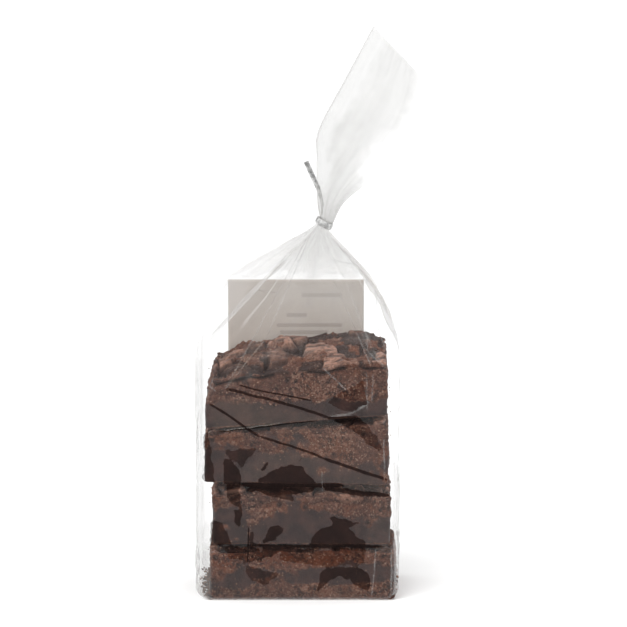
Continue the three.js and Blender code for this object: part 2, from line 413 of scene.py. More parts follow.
@dataclass(frozen=True)
class CreaseLine:
    """A crease from one point of the front film to another, in millimetres across and up."""

    kind: Crease
    start: tuple[float, float]
    end: tuple[float, float]
    width: float = 0.5
    bend: float = 0.0
    strength: float = 1.0

    def mark(self) -> dict:
        """Works out the crease's place and size.

        Returns:
            The film_crease group's inputs by name.
        """
        start, end = Vector(self.start), Vector(self.end)
        along, middle = end - start, (start + end) / 2
        inputs = {"Middle": (*middle, 0.0), "Turn": (0.0, 0.0, math.atan2(along.y, along.x))}
        strength = self.strength if self.kind is Crease.BRIGHT else -self.strength
        inputs["Size"] = (along.length / 2, self.width, 1.0)
        return inputs | {"Bend": self.bend, "Strength": strength}


@dataclass(frozen=True)
class FilmPatch:
    """A patch of the front film, by its corners in millimetres across and up."""

    strength: float
    corners: tuple[tuple[float, float], ...]

    def depth(self, across: float, up: float) -> float:
        """Measures a point against the patch's outline.

        Args:
            across: where the point is across, in millimetres.
            up: how high it is.

        Returns:
            How far inside the patch it lies, in millimetres, which is below 0 outside.
        """
        inside = False
        nearest = math.inf
        for (x, z), (next_x, next_z) in zip(self.corners, self.corners[1:] + self.corners[:1]):
            along, rise = next_x - x, next_z - z
            share = ((across - x) * along + (up - z) * rise) / (along**2 + rise**2)
            share = min(1.0, max(0.0, share))
            nearest = min(nearest, math.hypot(across - x - share * along, up - z - share * rise))
            if (z > up) != (next_z > up) and across < x + (up - z) / rise * along:
                inside = not inside
        return nearest if inside else -nearest


FRONT_CREASES = (
    # The dark creases are painted shade along the joints and the film's creases, partly film pressed into
    # the crumb.
    CreaseLine(Crease.DARK, (-43.5, 98.5), (-18.2, 81.5), 0.75),
    CreaseLine(Crease.DARK, (-19.5, 82.2), (13.5, 70.4), 0.7, 1.0),
    CreaseLine(Crease.DARK, (11.5, 71.1), (44.6, 60.0), 0.95),
    CreaseLine(Crease.DARK, (-36.2, 105.5), (17.5, 90.7), 0.85, 1.2),
    CreaseLine(Crease.DARK, (14.5, 91.0), (29.5, 91.7), 0.9),
    CreaseLine(Crease.DARK, (-29.4, 107.3), (7.5, 99.3), 0.5),
    CreaseLine(Crease.DARK, (-29.0, 58.0), (24.0, 57.2), 1.3),
    CreaseLine(Crease.DARK, (12.0, 55.8), (46.0, 52.6), 1.1),
    CreaseLine(Crease.DARK, (-26.0, 27.3), (44.0, 27.0), 0.8),
    CreaseLine(Crease.DARK, (-18.0, 26.2), (4.0, 24.6), 1.4),
    CreaseLine(Crease.DARK, (-41.0, 83.6), (12.0, 90.0), 0.4, strength=0.45),
    CreaseLine(Crease.DARK, (-24.2, 37.0), (-24.3, 18.5), 0.5),
    # The pale creases: whitened film with a painted highlight.
    CreaseLine(Crease.BRIGHT, (13.4, 173.5), (24.0, 156.4), 0.7, strength=0.8),
    CreaseLine(Crease.BRIGHT, (23.6, 157.2), (47.4, 107.3), 0.7, -3.0, 0.7),
    CreaseLine(Crease.BRIGHT, (16.2, 165.8), (36.6, 162.2), 0.5, strength=0.6),
    CreaseLine(Crease.BRIGHT, (9.0, 150.0), (-27.0, 108.0), 3.4, strength=0.3),
    CreaseLine(Crease.BRIGHT, (26.0, 150.0), (38.0, 118.0), 3.4, strength=0.45),
    CreaseLine(Crease.BRIGHT, (16.0, 154.0), (29.0, 126.0), 8.0, strength=0.2),
    CreaseLine(Crease.BRIGHT, (12.0, 116.2), (27.0, 101.0), 0.4),
    CreaseLine(Crease.BRIGHT, (25.5, 101.8), (35.3, 98.7), 0.45),
    CreaseLine(Crease.BRIGHT, (15.5, 92.3), (35.0, 99.4), 0.75, -3.0),
    CreaseLine(Crease.BRIGHT, (12.5, 189.7), (-36.0, 103.8), 0.4),
    CreaseLine(Crease.BRIGHT, (-15.0, 130.1), (-35.8, 104.4), 0.4),
    CreaseLine(Crease.BRIGHT, (11.5, 188.3), (-15.4, 129.6), 0.4),
    CreaseLine(Crease.BRIGHT, (-44.2, 108.0), (-39.2, 104.0), 0.35),
    CreaseLine(Crease.BRIGHT, (16.0, 160.0), (36.9, 115.0), 0.4),
    CreaseLine(Crease.BRIGHT, (33.0, 134.5), (34.6, 123.5), 0.3),
    CreaseLine(Crease.BRIGHT, (38.4, 136.0), (46.6, 115.2), 0.4),
    CreaseLine(Crease.BRIGHT, (32.0, 126.2), (40.4, 117.8), 0.3),
    CreaseLine(Crease.BRIGHT, (33.8, 114.0), (33.8, 94.5), 0.35),
    CreaseLine(Crease.BRIGHT, (36.9, 113.8), (36.2, 99.0), 0.3),
    CreaseLine(Crease.BRIGHT, (42.1, 81.5), (42.2, 59.0), 0.4),
    CreaseLine(Crease.BRIGHT, (38.4, 26.8), (36.5, 1.5), 0.35),
    CreaseLine(Crease.BRIGHT, (45.7, 28.0), (45.8, 3.0), 0.45),
    CreaseLine(Crease.BRIGHT, (12.2, 64.5), (12.2, 54.0), 0.25),
    CreaseLine(Crease.BRIGHT, (37.5, 162.3), (38.6, 142.7), 0.35),
    CreaseLine(Crease.BRIGHT, (-37.7, 84.5), (-6.6, 88.5), 0.25),
    CreaseLine(Crease.BRIGHT, (-26.0, 153.4), (-9.0, 150.6), 0.6, strength=0.8),
)
# Patches where the film clings to greasy crumb and darkens it; along the joints between slabs they are
# painted shade.
GREASE_AND_SHADE_PATCHES = (
    FilmPatch(0.45, ((-35.7, 75.5), (-19.9, 75.7), (-23.6, 71.3), (-27.1, 65.5), (-32.5, 71.3))),
    FilmPatch(1.0, ((-35.9, 71.7), (-32.1, 69.7), (-28.1, 63.5), (-27.4, 58.1), (-35.8, 58.1))),
    FilmPatch(0.8, ((-35.0, 58.1), (-27.3, 58.1), (-27.3, 45.2), (-31.8, 49.3), (-34.2, 52.7))),
    FilmPatch(1.0, ((-31.8, 45.2), (-27.7, 44.8), (-28.1, 39.4), (-29.4, 35.6), (-31.2, 40.2))),
    FilmPatch(
        1.0,
        (
            (-20.3, 59.1), (-16.7, 62.2), (-11.8, 65.3), (-6.9, 67.4), (-2.0, 67.8), (2.8, 66.1),
            (5.7, 62.2), (11.8, 56.7), (-3.7, 57.2),
        ),
    ),
    FilmPatch(0.9, ((-17.9, 65.3), (-16.7, 68.4), (-14.2, 69.3), (-15.4, 66.8))),
    FilmPatch(0.8, ((0.0, 69.9), (1.2, 71.2), (3.8, 69.9), (1.6, 69.3))),
    FilmPatch(
        0.9,
        (
            (-25.6, 55.6), (-18.3, 57.5), (10.2, 56.7), (6.1, 54.3), (-3.7, 53.7), (-1.6, 49.5),
            (-11.8, 51.8),
        ),
    ),
    FilmPatch(1.0, ((16.3, 55.6), (20.7, 56.2), (41.1, 53.3), (41.1, 52.0), (28.9, 52.5))),
    FilmPatch(
        1.0,
        (
            (-17.0, 29.4), (-15.5, 33.1), (-13.1, 36.6), (-9.4, 37.7), (-6.0, 36.6), (-8.2, 33.1),
            (-11.8, 30.2),
        ),
    ),
    FilmPatch(
        0.95,
        (
            (15.9, 41.9), (20.8, 41.4), (30.4, 38.7), (24.7, 36.7), (28.9, 32.0), (32.2, 29.4),
            (32.8, 25.6), (4.5, 27.0), (7.7, 32.3), (11.8, 35.6), (18.3, 37.7),
        ),
    ),
    FilmPatch(0.9, ((-42.6, 40.6), (-37.9, 39.5), (-35.1, 34.4), (-31.6, 27.5), (-43.0, 27.9))),
    FilmPatch(1.0, ((-18.0, 26.5), (6.1, 27.0), (-7.0, 25.0), (-13.5, 21.7), (-18.0, 21.7))),
    FilmPatch(0.8, ((-23.9, 34.4), (-21.9, 34.0), (-21.0, 26.5), (-23.3, 27.3))),
    FilmPatch(0.6, ((-20.7, 26.9), (-18.2, 26.5), (-19.6, 19.8), (-21.2, 22.3))),
    FilmPatch(
        0.9,
        (
            (11.8, 13.5), (15.1, 17.0), (28.9, 17.0), (34.0, 13.5), (35.9, 7.6), (33.9, 3.9), (29.0, 7.6),
            (20.8, 12.0), (16.7, 10.2), (9.8, 3.9), (10.6, 9.3),
        ),
    ),
    FilmPatch(0.4, ((-26.6, 17.7), (-16.8, 15.3), (-9.0, 12.7), (-16.0, 7.8), (-21.7, 10.2))),
    FilmPatch(
        0.5,
        (
            (15.4, 90.9), (28.8, 92.0), (33.8, 87.4), (37.9, 82.5), (42.8, 73.2), (33.7, 79.2),
            (25.6, 85.6),
        ),
    ),
    FilmPatch(0.3, ((14.2, 98.5), (20.7, 103.3), (31.2, 109.7), (33.7, 98.2), (28.8, 94.4), (20.7, 95.7))),
    FilmPatch(0.7, ((-45.4, 82.5), (-43.2, 83.3), (-40.9, 59.1), (-45.7, 59.1))),
    FilmPatch(0.35, ((-37.1, 26.9), (-20.0, 26.9), (-16.8, 19.4), (-25.7, 18.5), (-33.1, 21.0))),
    FilmPatch(0.3, ((-7.0, 25.6), (33.0, 25.6), (33.0, 18.5), (12.6, 17.7), (-2.1, 19.4), (-8.6, 21.0))),
)
# Patches where a pale haze on the front film is painted reflection of the lights.
PAINTED_REFLECTION_PATCHES = (
    FilmPatch(
        1.0,
        (
            (-43.2, 97.3), (-32.0, 101.4), (-11.7, 97.3), (12.6, 90.6), (-6.9, 88.1), (-23.9, 85.6),
            (-40.2, 85.1),
        ),
    ),
    FilmPatch(
        0.8,
        (
            (-28.0, 65.1), (-17.5, 73.2), (4.5, 74.1), (41.1, 62.5), (44.3, 59.5), (11.8, 59.5),
            (5.7, 63.5), (-2.0, 68.4), (-11.8, 65.9), (-21.6, 59.3), (-27.1, 58.9),
        ),
    ),
    FilmPatch(
        0.45,
        (
            (-6.9, 87.4), (15.0, 90.6), (32.9, 80.0), (41.8, 72.6), (41.1, 62.6), (12.6, 70.9),
            (-11.8, 80.0),
        ),
    ),
    FilmPatch(0.6, ((14.2, 59.6), (44.3, 59.6), (44.3, 54.3), (28.9, 55.2), (15.0, 56.4))),
    FilmPatch(0.5, ((35.4, 51.8), (44.3, 51.8), (45.2, 26.9), (33.8, 26.9))),
    FilmPatch(1.0, ((1.3, 127.7), (9.3, 126.9), (11.8, 120.4), (6.9, 119.1), (2.1, 122.8))),
    FilmPatch(1.0, ((-23.8, 126.1), (-15.7, 128.6), (-32.0, 107.2), (-34.8, 105.2))),
)


@dataclass(frozen=True)
class FilmFinish:
    """Thin clear film: mirror gloss over what shows through it, with a faint milky haze. On the front, pale
    haze in patches is painted reflection.
    """

    milk: tuple = colour(0.39, 0.385, 0.37)
    # The warm tint of the painted reflection.
    painted_reflection_tint: tuple = colour(0.42, 0.325, 0.26)
    # The dark tint of the grease patches and of the painted shade along the joints and the dark creases.
    grease_and_shade: tuple = colour(0.0085, 0.003, 0.0022)
    gloss_rough: float = 0.07
    clear_haze: float = 0.009
    gathered_haze: float = 0.17
    crease_haze: float = 0.34
    # How much dark haze the grease patches lay on, partly painted shade.
    grease_and_shade_share: float = 0.72
    # How dark the painted shade of the dark creases is.
    crease_wet_and_shade: float = 0.8
    most_mirror: float = 0.16
    front_mirror: float = 1.7
    wet_mirror: float = 0.12
    plain_mirror: float = 0.5
    # How much haze the painted reflection lays on.
    painted_reflection_haze: float = 0.054
    tent_mirror: float = 0.4
    tent_start: float = 0.108
    tent_full: float = 0.122
    wave_scale: float = 26.0
    ripple_scale: float = 75.0
    bend_scale: float = 70.0
    bend_reach: float = 1.8
    edge_scale: float = 300.0
    edge_reach: float = 2.4
    crease_gap_scale: float = 160.0
    cloud_scale: float = 120.0
    relief: float = 0.0007

    def build(self, side: Side) -> bpy.types.Material:
        """Builds the material.

        Args:
            side: plain film, the front with its marks, or its lining, which mirrors next to nothing.

        Returns:
            A see-through material that reads the film's lay and gather, and on the front its patches of
            painted reflection, grease and painted shade.
        """
        material, tree, output = new_material(f"clear_film_{side.value}")
        place = tree.place()
        gather = tree.attribute("gather")
        lay = tree.add("Attribute", attribute_name="lay").outputs["Vector"]
        stretched = tree.add("Mapping", {"Vector": lay, "Scale": (3.4, 3.4, 1.2)}).outputs[0]
        pleats = tree.noise(stretched, 1.0, detail=3.0, rough=0.55)
        ridge = tree.band(tree.math("ABSOLUTE", tree.math("SUBTRACT", pleats, 0.5)), 0.014, 0.0)
        facets = tree.math("MULTIPLY_ADD", ridge, 0.22, tree.band(pleats, 0.36, 0.64, 0.78, 1.12))
        haze = tree.math("MULTIPLY", tree.math("MULTIPLY", facets, self.gathered_haze), gather)
        haze = tree.math("ADD", haze, self.clear_haze)
        dry = self.plain_mirror
        tint = self.milk
        if side is Side.LINING:
            dry = tree.band(gather, 0.02, 0.3)
            haze = tree.math("MULTIPLY", haze, dry)
            height = tree.math("MULTIPLY", pleats, gather)
        else:
            folds = tree.math("MULTIPLY_ADD", pleats, 1.5, tree.math("MULTIPLY", ridge, 0.2))
            height = tree.math("MULTIPLY", folds, gather)
            height = tree.math("MULTIPLY_ADD", tree.noise(place, self.wave_scale, detail=2.0), 1.3, height)
            ripples = tree.noise(place, self.ripple_scale, rough=0.6, warp=1.5)
            height = tree.math("MULTIPLY_ADD", ripples, 0.3, height)
        if side is Side.FRONT:
            wet_and_shade, painted_reflection, bright, dark = self.marks(tree, place)
            stuck = tree.math("MAXIMUM", wet_and_shade, dark)
            dry = tree.band(stuck, 0.0, 0.28, self.front_mirror, self.wet_mirror)
            up = tree.add("SeparateXYZ", {0: place}).outputs["Z"]
            above = tree.band(up, self.tent_start, self.tent_full, 1.0, self.tent_mirror)
            dry = tree.math("MULTIPLY", dry, above)
            # Painted reflection: a pale haze in its patches.
            haze = tree.math("MULTIPLY_ADD", painted_reflection, self.painted_reflection_haze, haze)
            haze = tree.math("MULTIPLY", haze, tree.band(stuck, 0.0, 0.28, 1.0, 0.1))
            # Whitened film and painted highlight along the pale creases.
            haze = tree.math("MULTIPLY_ADD", bright, self.crease_haze, haze)
            # Painted shade along the dark creases.
            dark = tree.math("MULTIPLY", dark, self.crease_wet_and_shade)
            # Grease patches, with painted shade along the joints, laid as a dark haze over the crumb.
            grease_and_shade = tree.math("MAXIMUM", tree.math("MULTIPLY", wet_and_shade, self.grease_and_shade_share), dark)
            haze = tree.math("MAXIMUM", haze, grease_and_shade)
            # The painted reflection is tinted warm.
            tint = tree.blend(painted_reflection, self.milk, self.painted_reflection_tint)
            tint = tree.blend(tree.band(grease_and_shade, 0.0, 0.15), tint, self.grease_and_shade)
            height = tree.math("MULTIPLY_ADD", bright, 0.5, height)
        bump = tree.bump(height, 1.0, self.relief)
        mirror = tree.math("MULTIPLY", tree.add("Fresnel", {"IOR": 1.5, "Normal": bump}).outputs[0], dry)
        mirror = tree.math("MINIMUM", mirror, self.most_mirror)
        polish = {"Color": colour(1, 1, 1), "Roughness": self.gloss_rough, "Normal": bump}
        gloss = tree.add("BsdfGlossy", polish).outputs[0]
        clear = tree.add("BsdfTransparent", {"Color": colour(1, 1, 1)}).outputs[0]
        cloud = {"Base Color": tint, "Roughness": 0.8, "Specular IOR Level": 0.2}
        milk = tree.add("BsdfPrincipled", cloud).outputs[0]
        skin = tree.cover(haze, tree.cover(mirror, clear, gloss), milk)
        seen = tree.add("LightPath").outputs["Is Camera Ray"]
        tree.join(tree.cover(seen, clear, skin), output.inputs["Surface"])
        return material

    def marks(self, tree: NodeTree, place: Socket) -> tuple[Socket, Socket, Socket, Socket]:
        """Lays the creases and the grease patches, which are painted shade along the joints, on the front.

        Args:
            tree: the material's NodeTree.
            place: the object coordinates.

        Returns:
            Masks of the grease with its painted shade along the joints, the painted reflection, the pale
            creases' whitening and painted highlight, and the dark creases' painted shade.
        """
        split = tree.add("SeparateXYZ", {0: place}).outputs
        flat = tree.add("CombineXYZ", {"X": split["X"], "Y": split["Z"]}).outputs[0]
        grown = tree.vector("MULTIPLY", flat, (1 / MILLIMETRE,) * 3)
        shift = tree.noise_vector(place, self.bend_scale)
        spot = tree.vector("MULTIPLY_ADD", shift, (self.bend_reach, self.bend_reach, 0.0), grown)
        group = film_crease_group()
        for crease in FRONT_CREASES:
            node = tree.add("Group", {"Place": spot}, node_tree=group)
            for name, value in crease.mark().items():
                node.inputs[name].default_value = value
            spot = node.outputs["Place"]
        lines = tree.add("SeparateXYZ", {0: spot}).outputs["Z"]
        fine = tree.noise(place, self.edge_scale, detail=2.0)
        # Gaps that break the whitening and painted highlight along each crease.
        crease_gaps = tree.band(tree.noise(place, self.crease_gap_scale), 0.36, 0.6, 0.25, 1.0)
        bright = tree.math("MULTIPLY", tree.add("Clamp", {"Value": lines}).outputs[0], crease_gaps)
        ragged = tree.math("SUBTRACT", fine, 0.5)
        edge = tree.math("MULTIPLY_ADD", ragged, self.edge_reach, tree.attribute("patch_depth"))
        wet_and_shade = tree.math("MULTIPLY", tree.band(edge, -0.3, 0.3), tree.attribute("wet_and_shade"))
        # The painted reflection, broken up by a cloudy pattern.
        cloudy = tree.band(tree.noise(place, self.cloud_scale), 0.3, 0.7, 0.7, 1.1)
        painted_reflection = tree.math("MULTIPLY", tree.attribute("painted_reflection"), cloudy)
        # The dark creases' mask: painted shade along the joints and the creases.
        return wet_and_shade, painted_reflection, bright, tree.band(lines, 0.0, -0.5)


@dataclass(frozen=True)
class FoilFinish:
    """Crumpled silver foil tape."""

    silver: tuple = colour(0.8, 0.8, 0.79)
    shade: tuple = colour(0.42, 0.42, 0.415)
    crumple_scale: float = 900.0
    fine_scale: float = 2200.0
    tone_scale: float = 500.0
    relief: float = 0.0002

    def build(self) -> bpy.types.Material:
        """Builds the material.

        Returns:
            The finished material.
        """
        material, tree, output = new_material("tie_foil")
        place = tree.place()
        crumple = tree.add("TexVoronoi", {"Vector": place, "Scale": self.crumple_scale}, feature="F1")
        fine = tree.noise(place, self.fine_scale)
        height = tree.math("MULTIPLY_ADD", fine, 0.4, crumple.outputs["Distance"])
        bump = tree.bump(height, 0.6, self.relief)
        tone = tree.blend(tree.band(tree.noise(place, self.tone_scale), 0.4, 0.65), self.silver, self.shade)
        inputs = {"Base Color": tone, "Metallic": 0.9, "Normal": bump}
        inputs["Roughness"] = tree.band(fine, 0.3, 0.7, 0.22, 0.42)
        shader = tree.add("BsdfPrincipled", inputs)
        tree.join(shader.outputs[0], output.inputs["Surface"])
        return material


@dataclass(frozen=True)
class Bar:
    """A plain bar of ink, by its share up the label and its ends' shares from left to right."""

    up: float
    left: float
    right: float
    half_high: float = 0.011


@dataclass(frozen=True)
class PaperFinish:
    """Label paper, with plain bars where a real label has its text."""

    name: str
    paper: tuple
    ink: tuple
    ink_share: float
    bars: tuple[Bar, ...]
    fibre_scale: float = 700.0
    cloud_scale: float = 60.0
    relief: float = 0.0001

    def build(self, low: Vector, high: Vector) -> bpy.types.Material:
        """Builds the material.

        Args:
            low: the label's lowest corner, in metres.
            high: its highest corner.

        Returns:
            The finished material.
        """
        material, tree, output = new_material(self.name)
        place = tree.place()
        split = tree.add("SeparateXYZ", {0: place}).outputs
        shares = []
        for axis, start, end in (("X", low.x, high.x), ("Z", low.z, high.z)):
            ends = {"Value": split[axis], "From Min": start, "From Max": end}
            shares.append(tree.add("MapRange", ends).outputs["Result"])
        across, up = shares
        ink = 0.0
        for bar in self.bars:
            over = tree.math("ABSOLUTE", tree.math("SUBTRACT", up, bar.up))
            aside = tree.math("ABSOLUTE", tree.math("SUBTRACT", across, (bar.left + bar.right) / 2))
            inside = tree.math("LESS_THAN", over, bar.half_high)
            beside = tree.math("LESS_THAN", aside, (bar.right - bar.left) / 2)
            ink = tree.math("MULTIPLY_ADD", inside, beside, ink)
        ink = tree.math("MULTIPLY", ink, self.ink_share)
        fibre = tree.noise(place, self.fibre_scale, detail=5.0, rough=0.7)
        cloud = tree.noise(place, self.cloud_scale)
        paper = tree.blend(tree.band(cloud, 0.3, 0.7, 0.0, 0.12), self.paper, self.ink)
        shade = tree.blend(ink, paper, self.ink)
        bump = tree.bump(fibre, 0.25, self.relief)
        shader = tree.add("BsdfPrincipled", {"Base Color": shade, "Roughness": 0.75, "Normal": bump})
        tree.join(shader.outputs[0], output.inputs["Surface"])
        return material


def finish_mesh(name: str, bm: bmesh.types.BMesh, materials: Finishes) -> bpy.types.Object:
    """Turns a bmesh in millimetres into a smooth object in metres on the root body.

    Args:
        name: the piece's name.
        bm: the bmesh, which is freed.
        materials: its material slots.

    Returns:
        The new object.
    """
    bmesh.ops.scale(bm, vec=(MILLIMETRE,) * 3, verts=bm.verts)
    mesh = bpy.data.meshes.new(name)
    bm.to_mesh(mesh)
    bm.free()
    mesh.shade_smooth()
    for material in materials:
        mesh.materials.append(material)
    piece = bpy.data.objects.new(name, mesh)
    bpy.context.scene.collection.objects.link(piece)
    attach(piece, "root")
    log.info("%s: %d faces", name, len(mesh.polygons))
    return piece


def rolled_sheet(columns: int, rows: int, place: Callable[[int, int], Vector]) -> bmesh.types.BMesh:
    """Rolls a flat grid into a tube and welds its seam.

    Args:
        columns: the number of faces round the tube.
        rows: the number of faces along it.
        place: gives the point for a column and a row. Column 0 and the last column are the same line.

    Returns:
        An open tube in millimetres, with the column and row of each vertex in two layers of these names.
    """
    bm = bmesh.new()
    bmesh.ops.create_grid(bm, x_segments=columns, y_segments=rows, size=1.0)
    column_layer, row_layer = (bm.verts.layers.int.new(name) for name in ("column", "row"))
    for vert in bm.verts:
        vert[column_layer] = round((vert.co.x + 1) / 2 * columns) % columns
        vert[row_layer] = round((vert.co.y + 1) / 2 * rows)
        vert.co = place(vert[column_layer], vert[row_layer])
    bmesh.ops.remove_doubles(bm, verts=bm.verts, dist=1e-4)
    return bm


@dataclass
class BagForm:
    """The form of the closed bag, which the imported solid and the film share."""

    wide: float
    deep: float
    shoulder: float = 120.0
    corner_round: float = 5.0
    joints: tuple[float, float, float] = (27.0, 58.0, 88.5)
    top_joint_climb: float = 7.0
    joint_sink: float = 1.3
    slab_bulge: float = 0.5
    neck: Vector = field(default_factory=lambda: Vector((13.2, 0.0, 182.4)))
    neck_dip: float = math.radians(28)
    neck_half_wide: float = 3.6
    neck_half_deep: float = 3.3
    neck_half_long: float = 2.2
    label_wide: float = 68.0
    label_top: float = 150.0
    label_margin: float = 3.0
    right_bulge: float = 7.0
    tent_bulge: float = 0.12
    upright_rise: float = 0.46
    bend_reach: float = 0.09
    groove_half: float = 2.5
    pleat_deep: float = 2.2
    folds: dict[Panel, tuple[Knot, ...]] = field(
        default_factory=lambda: {
            Panel.FRONT: (
                (0, 1), (0.08, -0.6), (0.14, 0.9), (0.2, -0.5), (0.34, 0.35), (0.5, -0.3),
                (0.66, 0.4), (0.8, -0.5), (0.87, 0.9), (0.93, -0.7), (1, 1),
            ),
            Panel.RIGHT: ((0, 1), (0.2, -0.4), (0.35, 0.5), (0.5, -1.6), (0.65, 0.5), (0.8, -0.4), (1, 1)),
            Panel.BACK: (
                (0, 1), (0.12, -0.6), (0.25, 0.5), (0.4, -0.4), (0.5, 0.3), (0.6, -0.4),
                (0.75, 0.5), (0.88, -0.6), (1, 1),
            ),
            Panel.LEFT: ((0, 1), (0.18, -0.4), (0.35, 0.5), (0.5, -1.8), (0.65, 0.5), (0.8, -0.4), (1, 1)),
        }
    )

    def corner_point(self, panel: Panel, share: float) -> tuple[float, float]:
        """Finds a point on the sharp rectangle round the stack.

        Args:
            panel: the panel that the point is on.
            share: how far along the panel it is, from 0 to 1.

        Returns:
            The point's X and Y.
        """
        x, y = self.wide / 2, self.deep / 2
        if panel is Panel.FRONT:
            return mix(-x, x, share), -y
        if panel is Panel.RIGHT:
            return x, mix(-y, y, share)
        if panel is Panel.BACK:
            return mix(x, -x, share), y
        return -x, mix(y, -y, share)

    def outline_point(self, panel: Panel, share: float, sink: float = 0.0) -> tuple[float, float]:
        """Finds the same point with the corners rounded.

        Args:
            panel: the panel that the point is on.
            share: how far along the panel it is, from 0 to 1.
            sink: how far the film is drawn in there.

        Returns:
            The point's X and Y.
        """
        sharp = Vector(self.corner_point(panel, share))
        half = Vector((self.wide / 2 - self.corner_round, self.deep / 2 - self.corner_round))
        core = Vector((max(-half.x, min(half.x, sharp.x)), max(-half.y, min(half.y, sharp.y))))
        outward = (sharp - core).normalized()
        point = core + outward * (self.corner_round - sink)
        return point.x, point.y

    def climb(self, x: float, z: float) -> float:
        """Returns how far the top joint raises the film at a place."""
        near = 1 - abs(z - self.joints[2]) / (self.joints[2] - self.joints[1])
        return x / self.wide * self.top_joint_climb * max(0.0, min(1.0, near))

    def sink(self, z: float) -> float:
        """Works out how far the film sinks in: deep at joints, slightly proud across a slab.

        Args:
            z: the height.

        Returns:
            The distance inwards, which is below 0 where the film stands proud.
        """
        floors = (0.0, *self.joints, self.shoulder)
        slab = max(i for i in range(4) if z >= floors[i])
        share = (z - floors[slab]) / (floors[slab + 1] - floors[slab])
        nearest = min(abs(z - joint) for joint in self.joints)
        groove = self.joint_sink * max(0.0, 1 - nearest / self.groove_half)
        return groove - self.slab_bulge * math.sin(math.pi * share)

    def stack_point(self, panel: Panel, share: float, z: float) -> Vector:
        """Finds a point of the film round the stack.

        Args:
            panel: the panel that the point is on.
            share: how far along the panel it is, from 0 to 1.
            z: its height before the top joint's climb.

        Returns:
            The point.
        """
        sink = self.sink(z) if panel is Panel.FRONT else max(0.0, self.sink(z)) * 0.6
        x, y = self.outline_point(panel, share, sink)
        return Vector((x, y, z + self.climb(x, z)))

    def neck_point(self, panel: Panel, share: float, along: float) -> Vector:
        """Finds a point of the gathered neck.

        Args:
            panel: the panel that the point is on.
            share: how far along the panel it is, from 0 to 1.
            along: how far it is moved along the neck.

        Returns:
            The point.
        """
        x, y = self.corner_point(panel, share)
        angle = math.atan2(y / self.deep, x / self.wide)
        right = Vector((math.cos(self.neck_dip), 0, -math.sin(self.neck_dip)))
        up = Vector((math.sin(self.neck_dip), 0, math.cos(self.neck_dip)))
        oval = right * (self.neck_half_wide * math.cos(angle))
        oval.y += self.neck_half_deep * math.sin(angle)
        return self.neck + oval + up * along

    def tent_point(self, panel: Panel, share: float, rise: float) -> Vector:
        """Finds a point of the film from the shoulder to the neck, which stays upright behind the label.

        Args:
            panel: the panel that the point is on.
            share: how far along the panel it is, from 0 to 1.
            rise: 0 at the shoulder and 1 at the neck.

        Returns:
            The point.
        """
        x, y = self.outline_point(panel, share)
        start = Vector((x, y, self.shoulder))
        end = self.neck_point(panel, share, -self.neck_half_long)
        straight = start.lerp(end, rise)
        swing = math.sin(math.pi * min(1.0, rise * 1.05))
        straight.x += self.right_bulge * ease(x, -10, self.wide / 2) * swing
        straight.y *= 1 + self.tent_bulge * math.sin(math.pi * rise)
        flat, reach = self.upright_rise, self.bend_reach
        behind = Vector((x * (self.label_wide + 2 * self.label_margin) / self.wide, y, self.label_top + 1))
        bend = min(1.0, max(0.0, (rise - flat + reach) / (2 * reach)))
        below = start.lerp(behind, (rise if bend == 0 else flat - reach * (1 - bend)) / flat)
        over = behind.lerp(end, (rise - flat if bend == 1 else reach * bend) / (1 - flat))
        upright = below.lerp(over, bend)
        backness = ease(y, -6, self.deep / 2 - self.corner_round)
        point = straight.lerp(upright, backness)
        axis = Vector((mix(0, self.neck.x, rise), 0, point.z))
        outward = (point - axis).normalized()
        held_flat = 1 - backness if rise < flat + 0.02 else 1.0
        swell = math.sin(math.pi * rise**0.8) * self.pleat_deep + 0.35 * rise
        return point + outward * (follow(self.folds[panel], share) * swell * held_flat)


# Marks of the gathers, the grease patches with their painted shade, and the painted reflection.
FILM_MARKS = ("gather", "patch_depth", "wet_and_shade", "painted_reflection")


@dataclass
class FilmTube:
    """A tube of film, made as a rolled sheet with a thin wall."""

    form: BagForm
    thick: float = 0.05
    lay_scale: float = 1.0

    def wrap(self, rows: int, columns: list[tuple[Panel, float]], point: Callable) -> tuple:
        """Rolls the tube and marks how its film lies.

        Args:
            rows: faces along the tube.
            columns: the panel and share of every column.
            point: gives the film's point for a panel, a share and a row.

        Returns:
            The bmesh, and a list of its vertices with the panel, share and row of each. Its FILM_MARKS
            layers are still to be filled in.
        """
        bm = rolled_sheet(len(columns), rows, lambda column, row: point(*columns[column], row))
        for name in FILM_MARKS:
            bm.verts.layers.float.new(name)
        lay = bm.verts.layers.float_vector.new("lay")
        column_layer, row_layer = (bm.verts.layers.int[name] for name in ("column", "row"))
        found = []
        for vert in bm.verts:
            column, row = vert[column_layer], vert[row_layer]
            angle = math.tau * column / len(columns)
            vert[lay] = Vector((math.cos(angle), math.sin(angle), row / rows)) * self.lay_scale
            found.append((vert, *columns[column], row))
        return bm, found

    def finish(self, name: str, bm: bmesh.types.BMesh, materials: Finishes) -> bpy.types.Object:
        """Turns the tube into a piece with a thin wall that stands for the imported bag.

        Args:
            name: the piece's name.
            bm: the tube.
            materials: its finishes.

        Returns:
            The piece.
        """
        piece = finish_mesh(name, bm, materials)
        wall = piece.modifiers.new("wall", "SOLIDIFY")
        wall.thickness = self.thick * MILLIMETRE
        wall.offset = -1.0
        wall.material_offset = 1
        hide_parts("bag")
        return piece


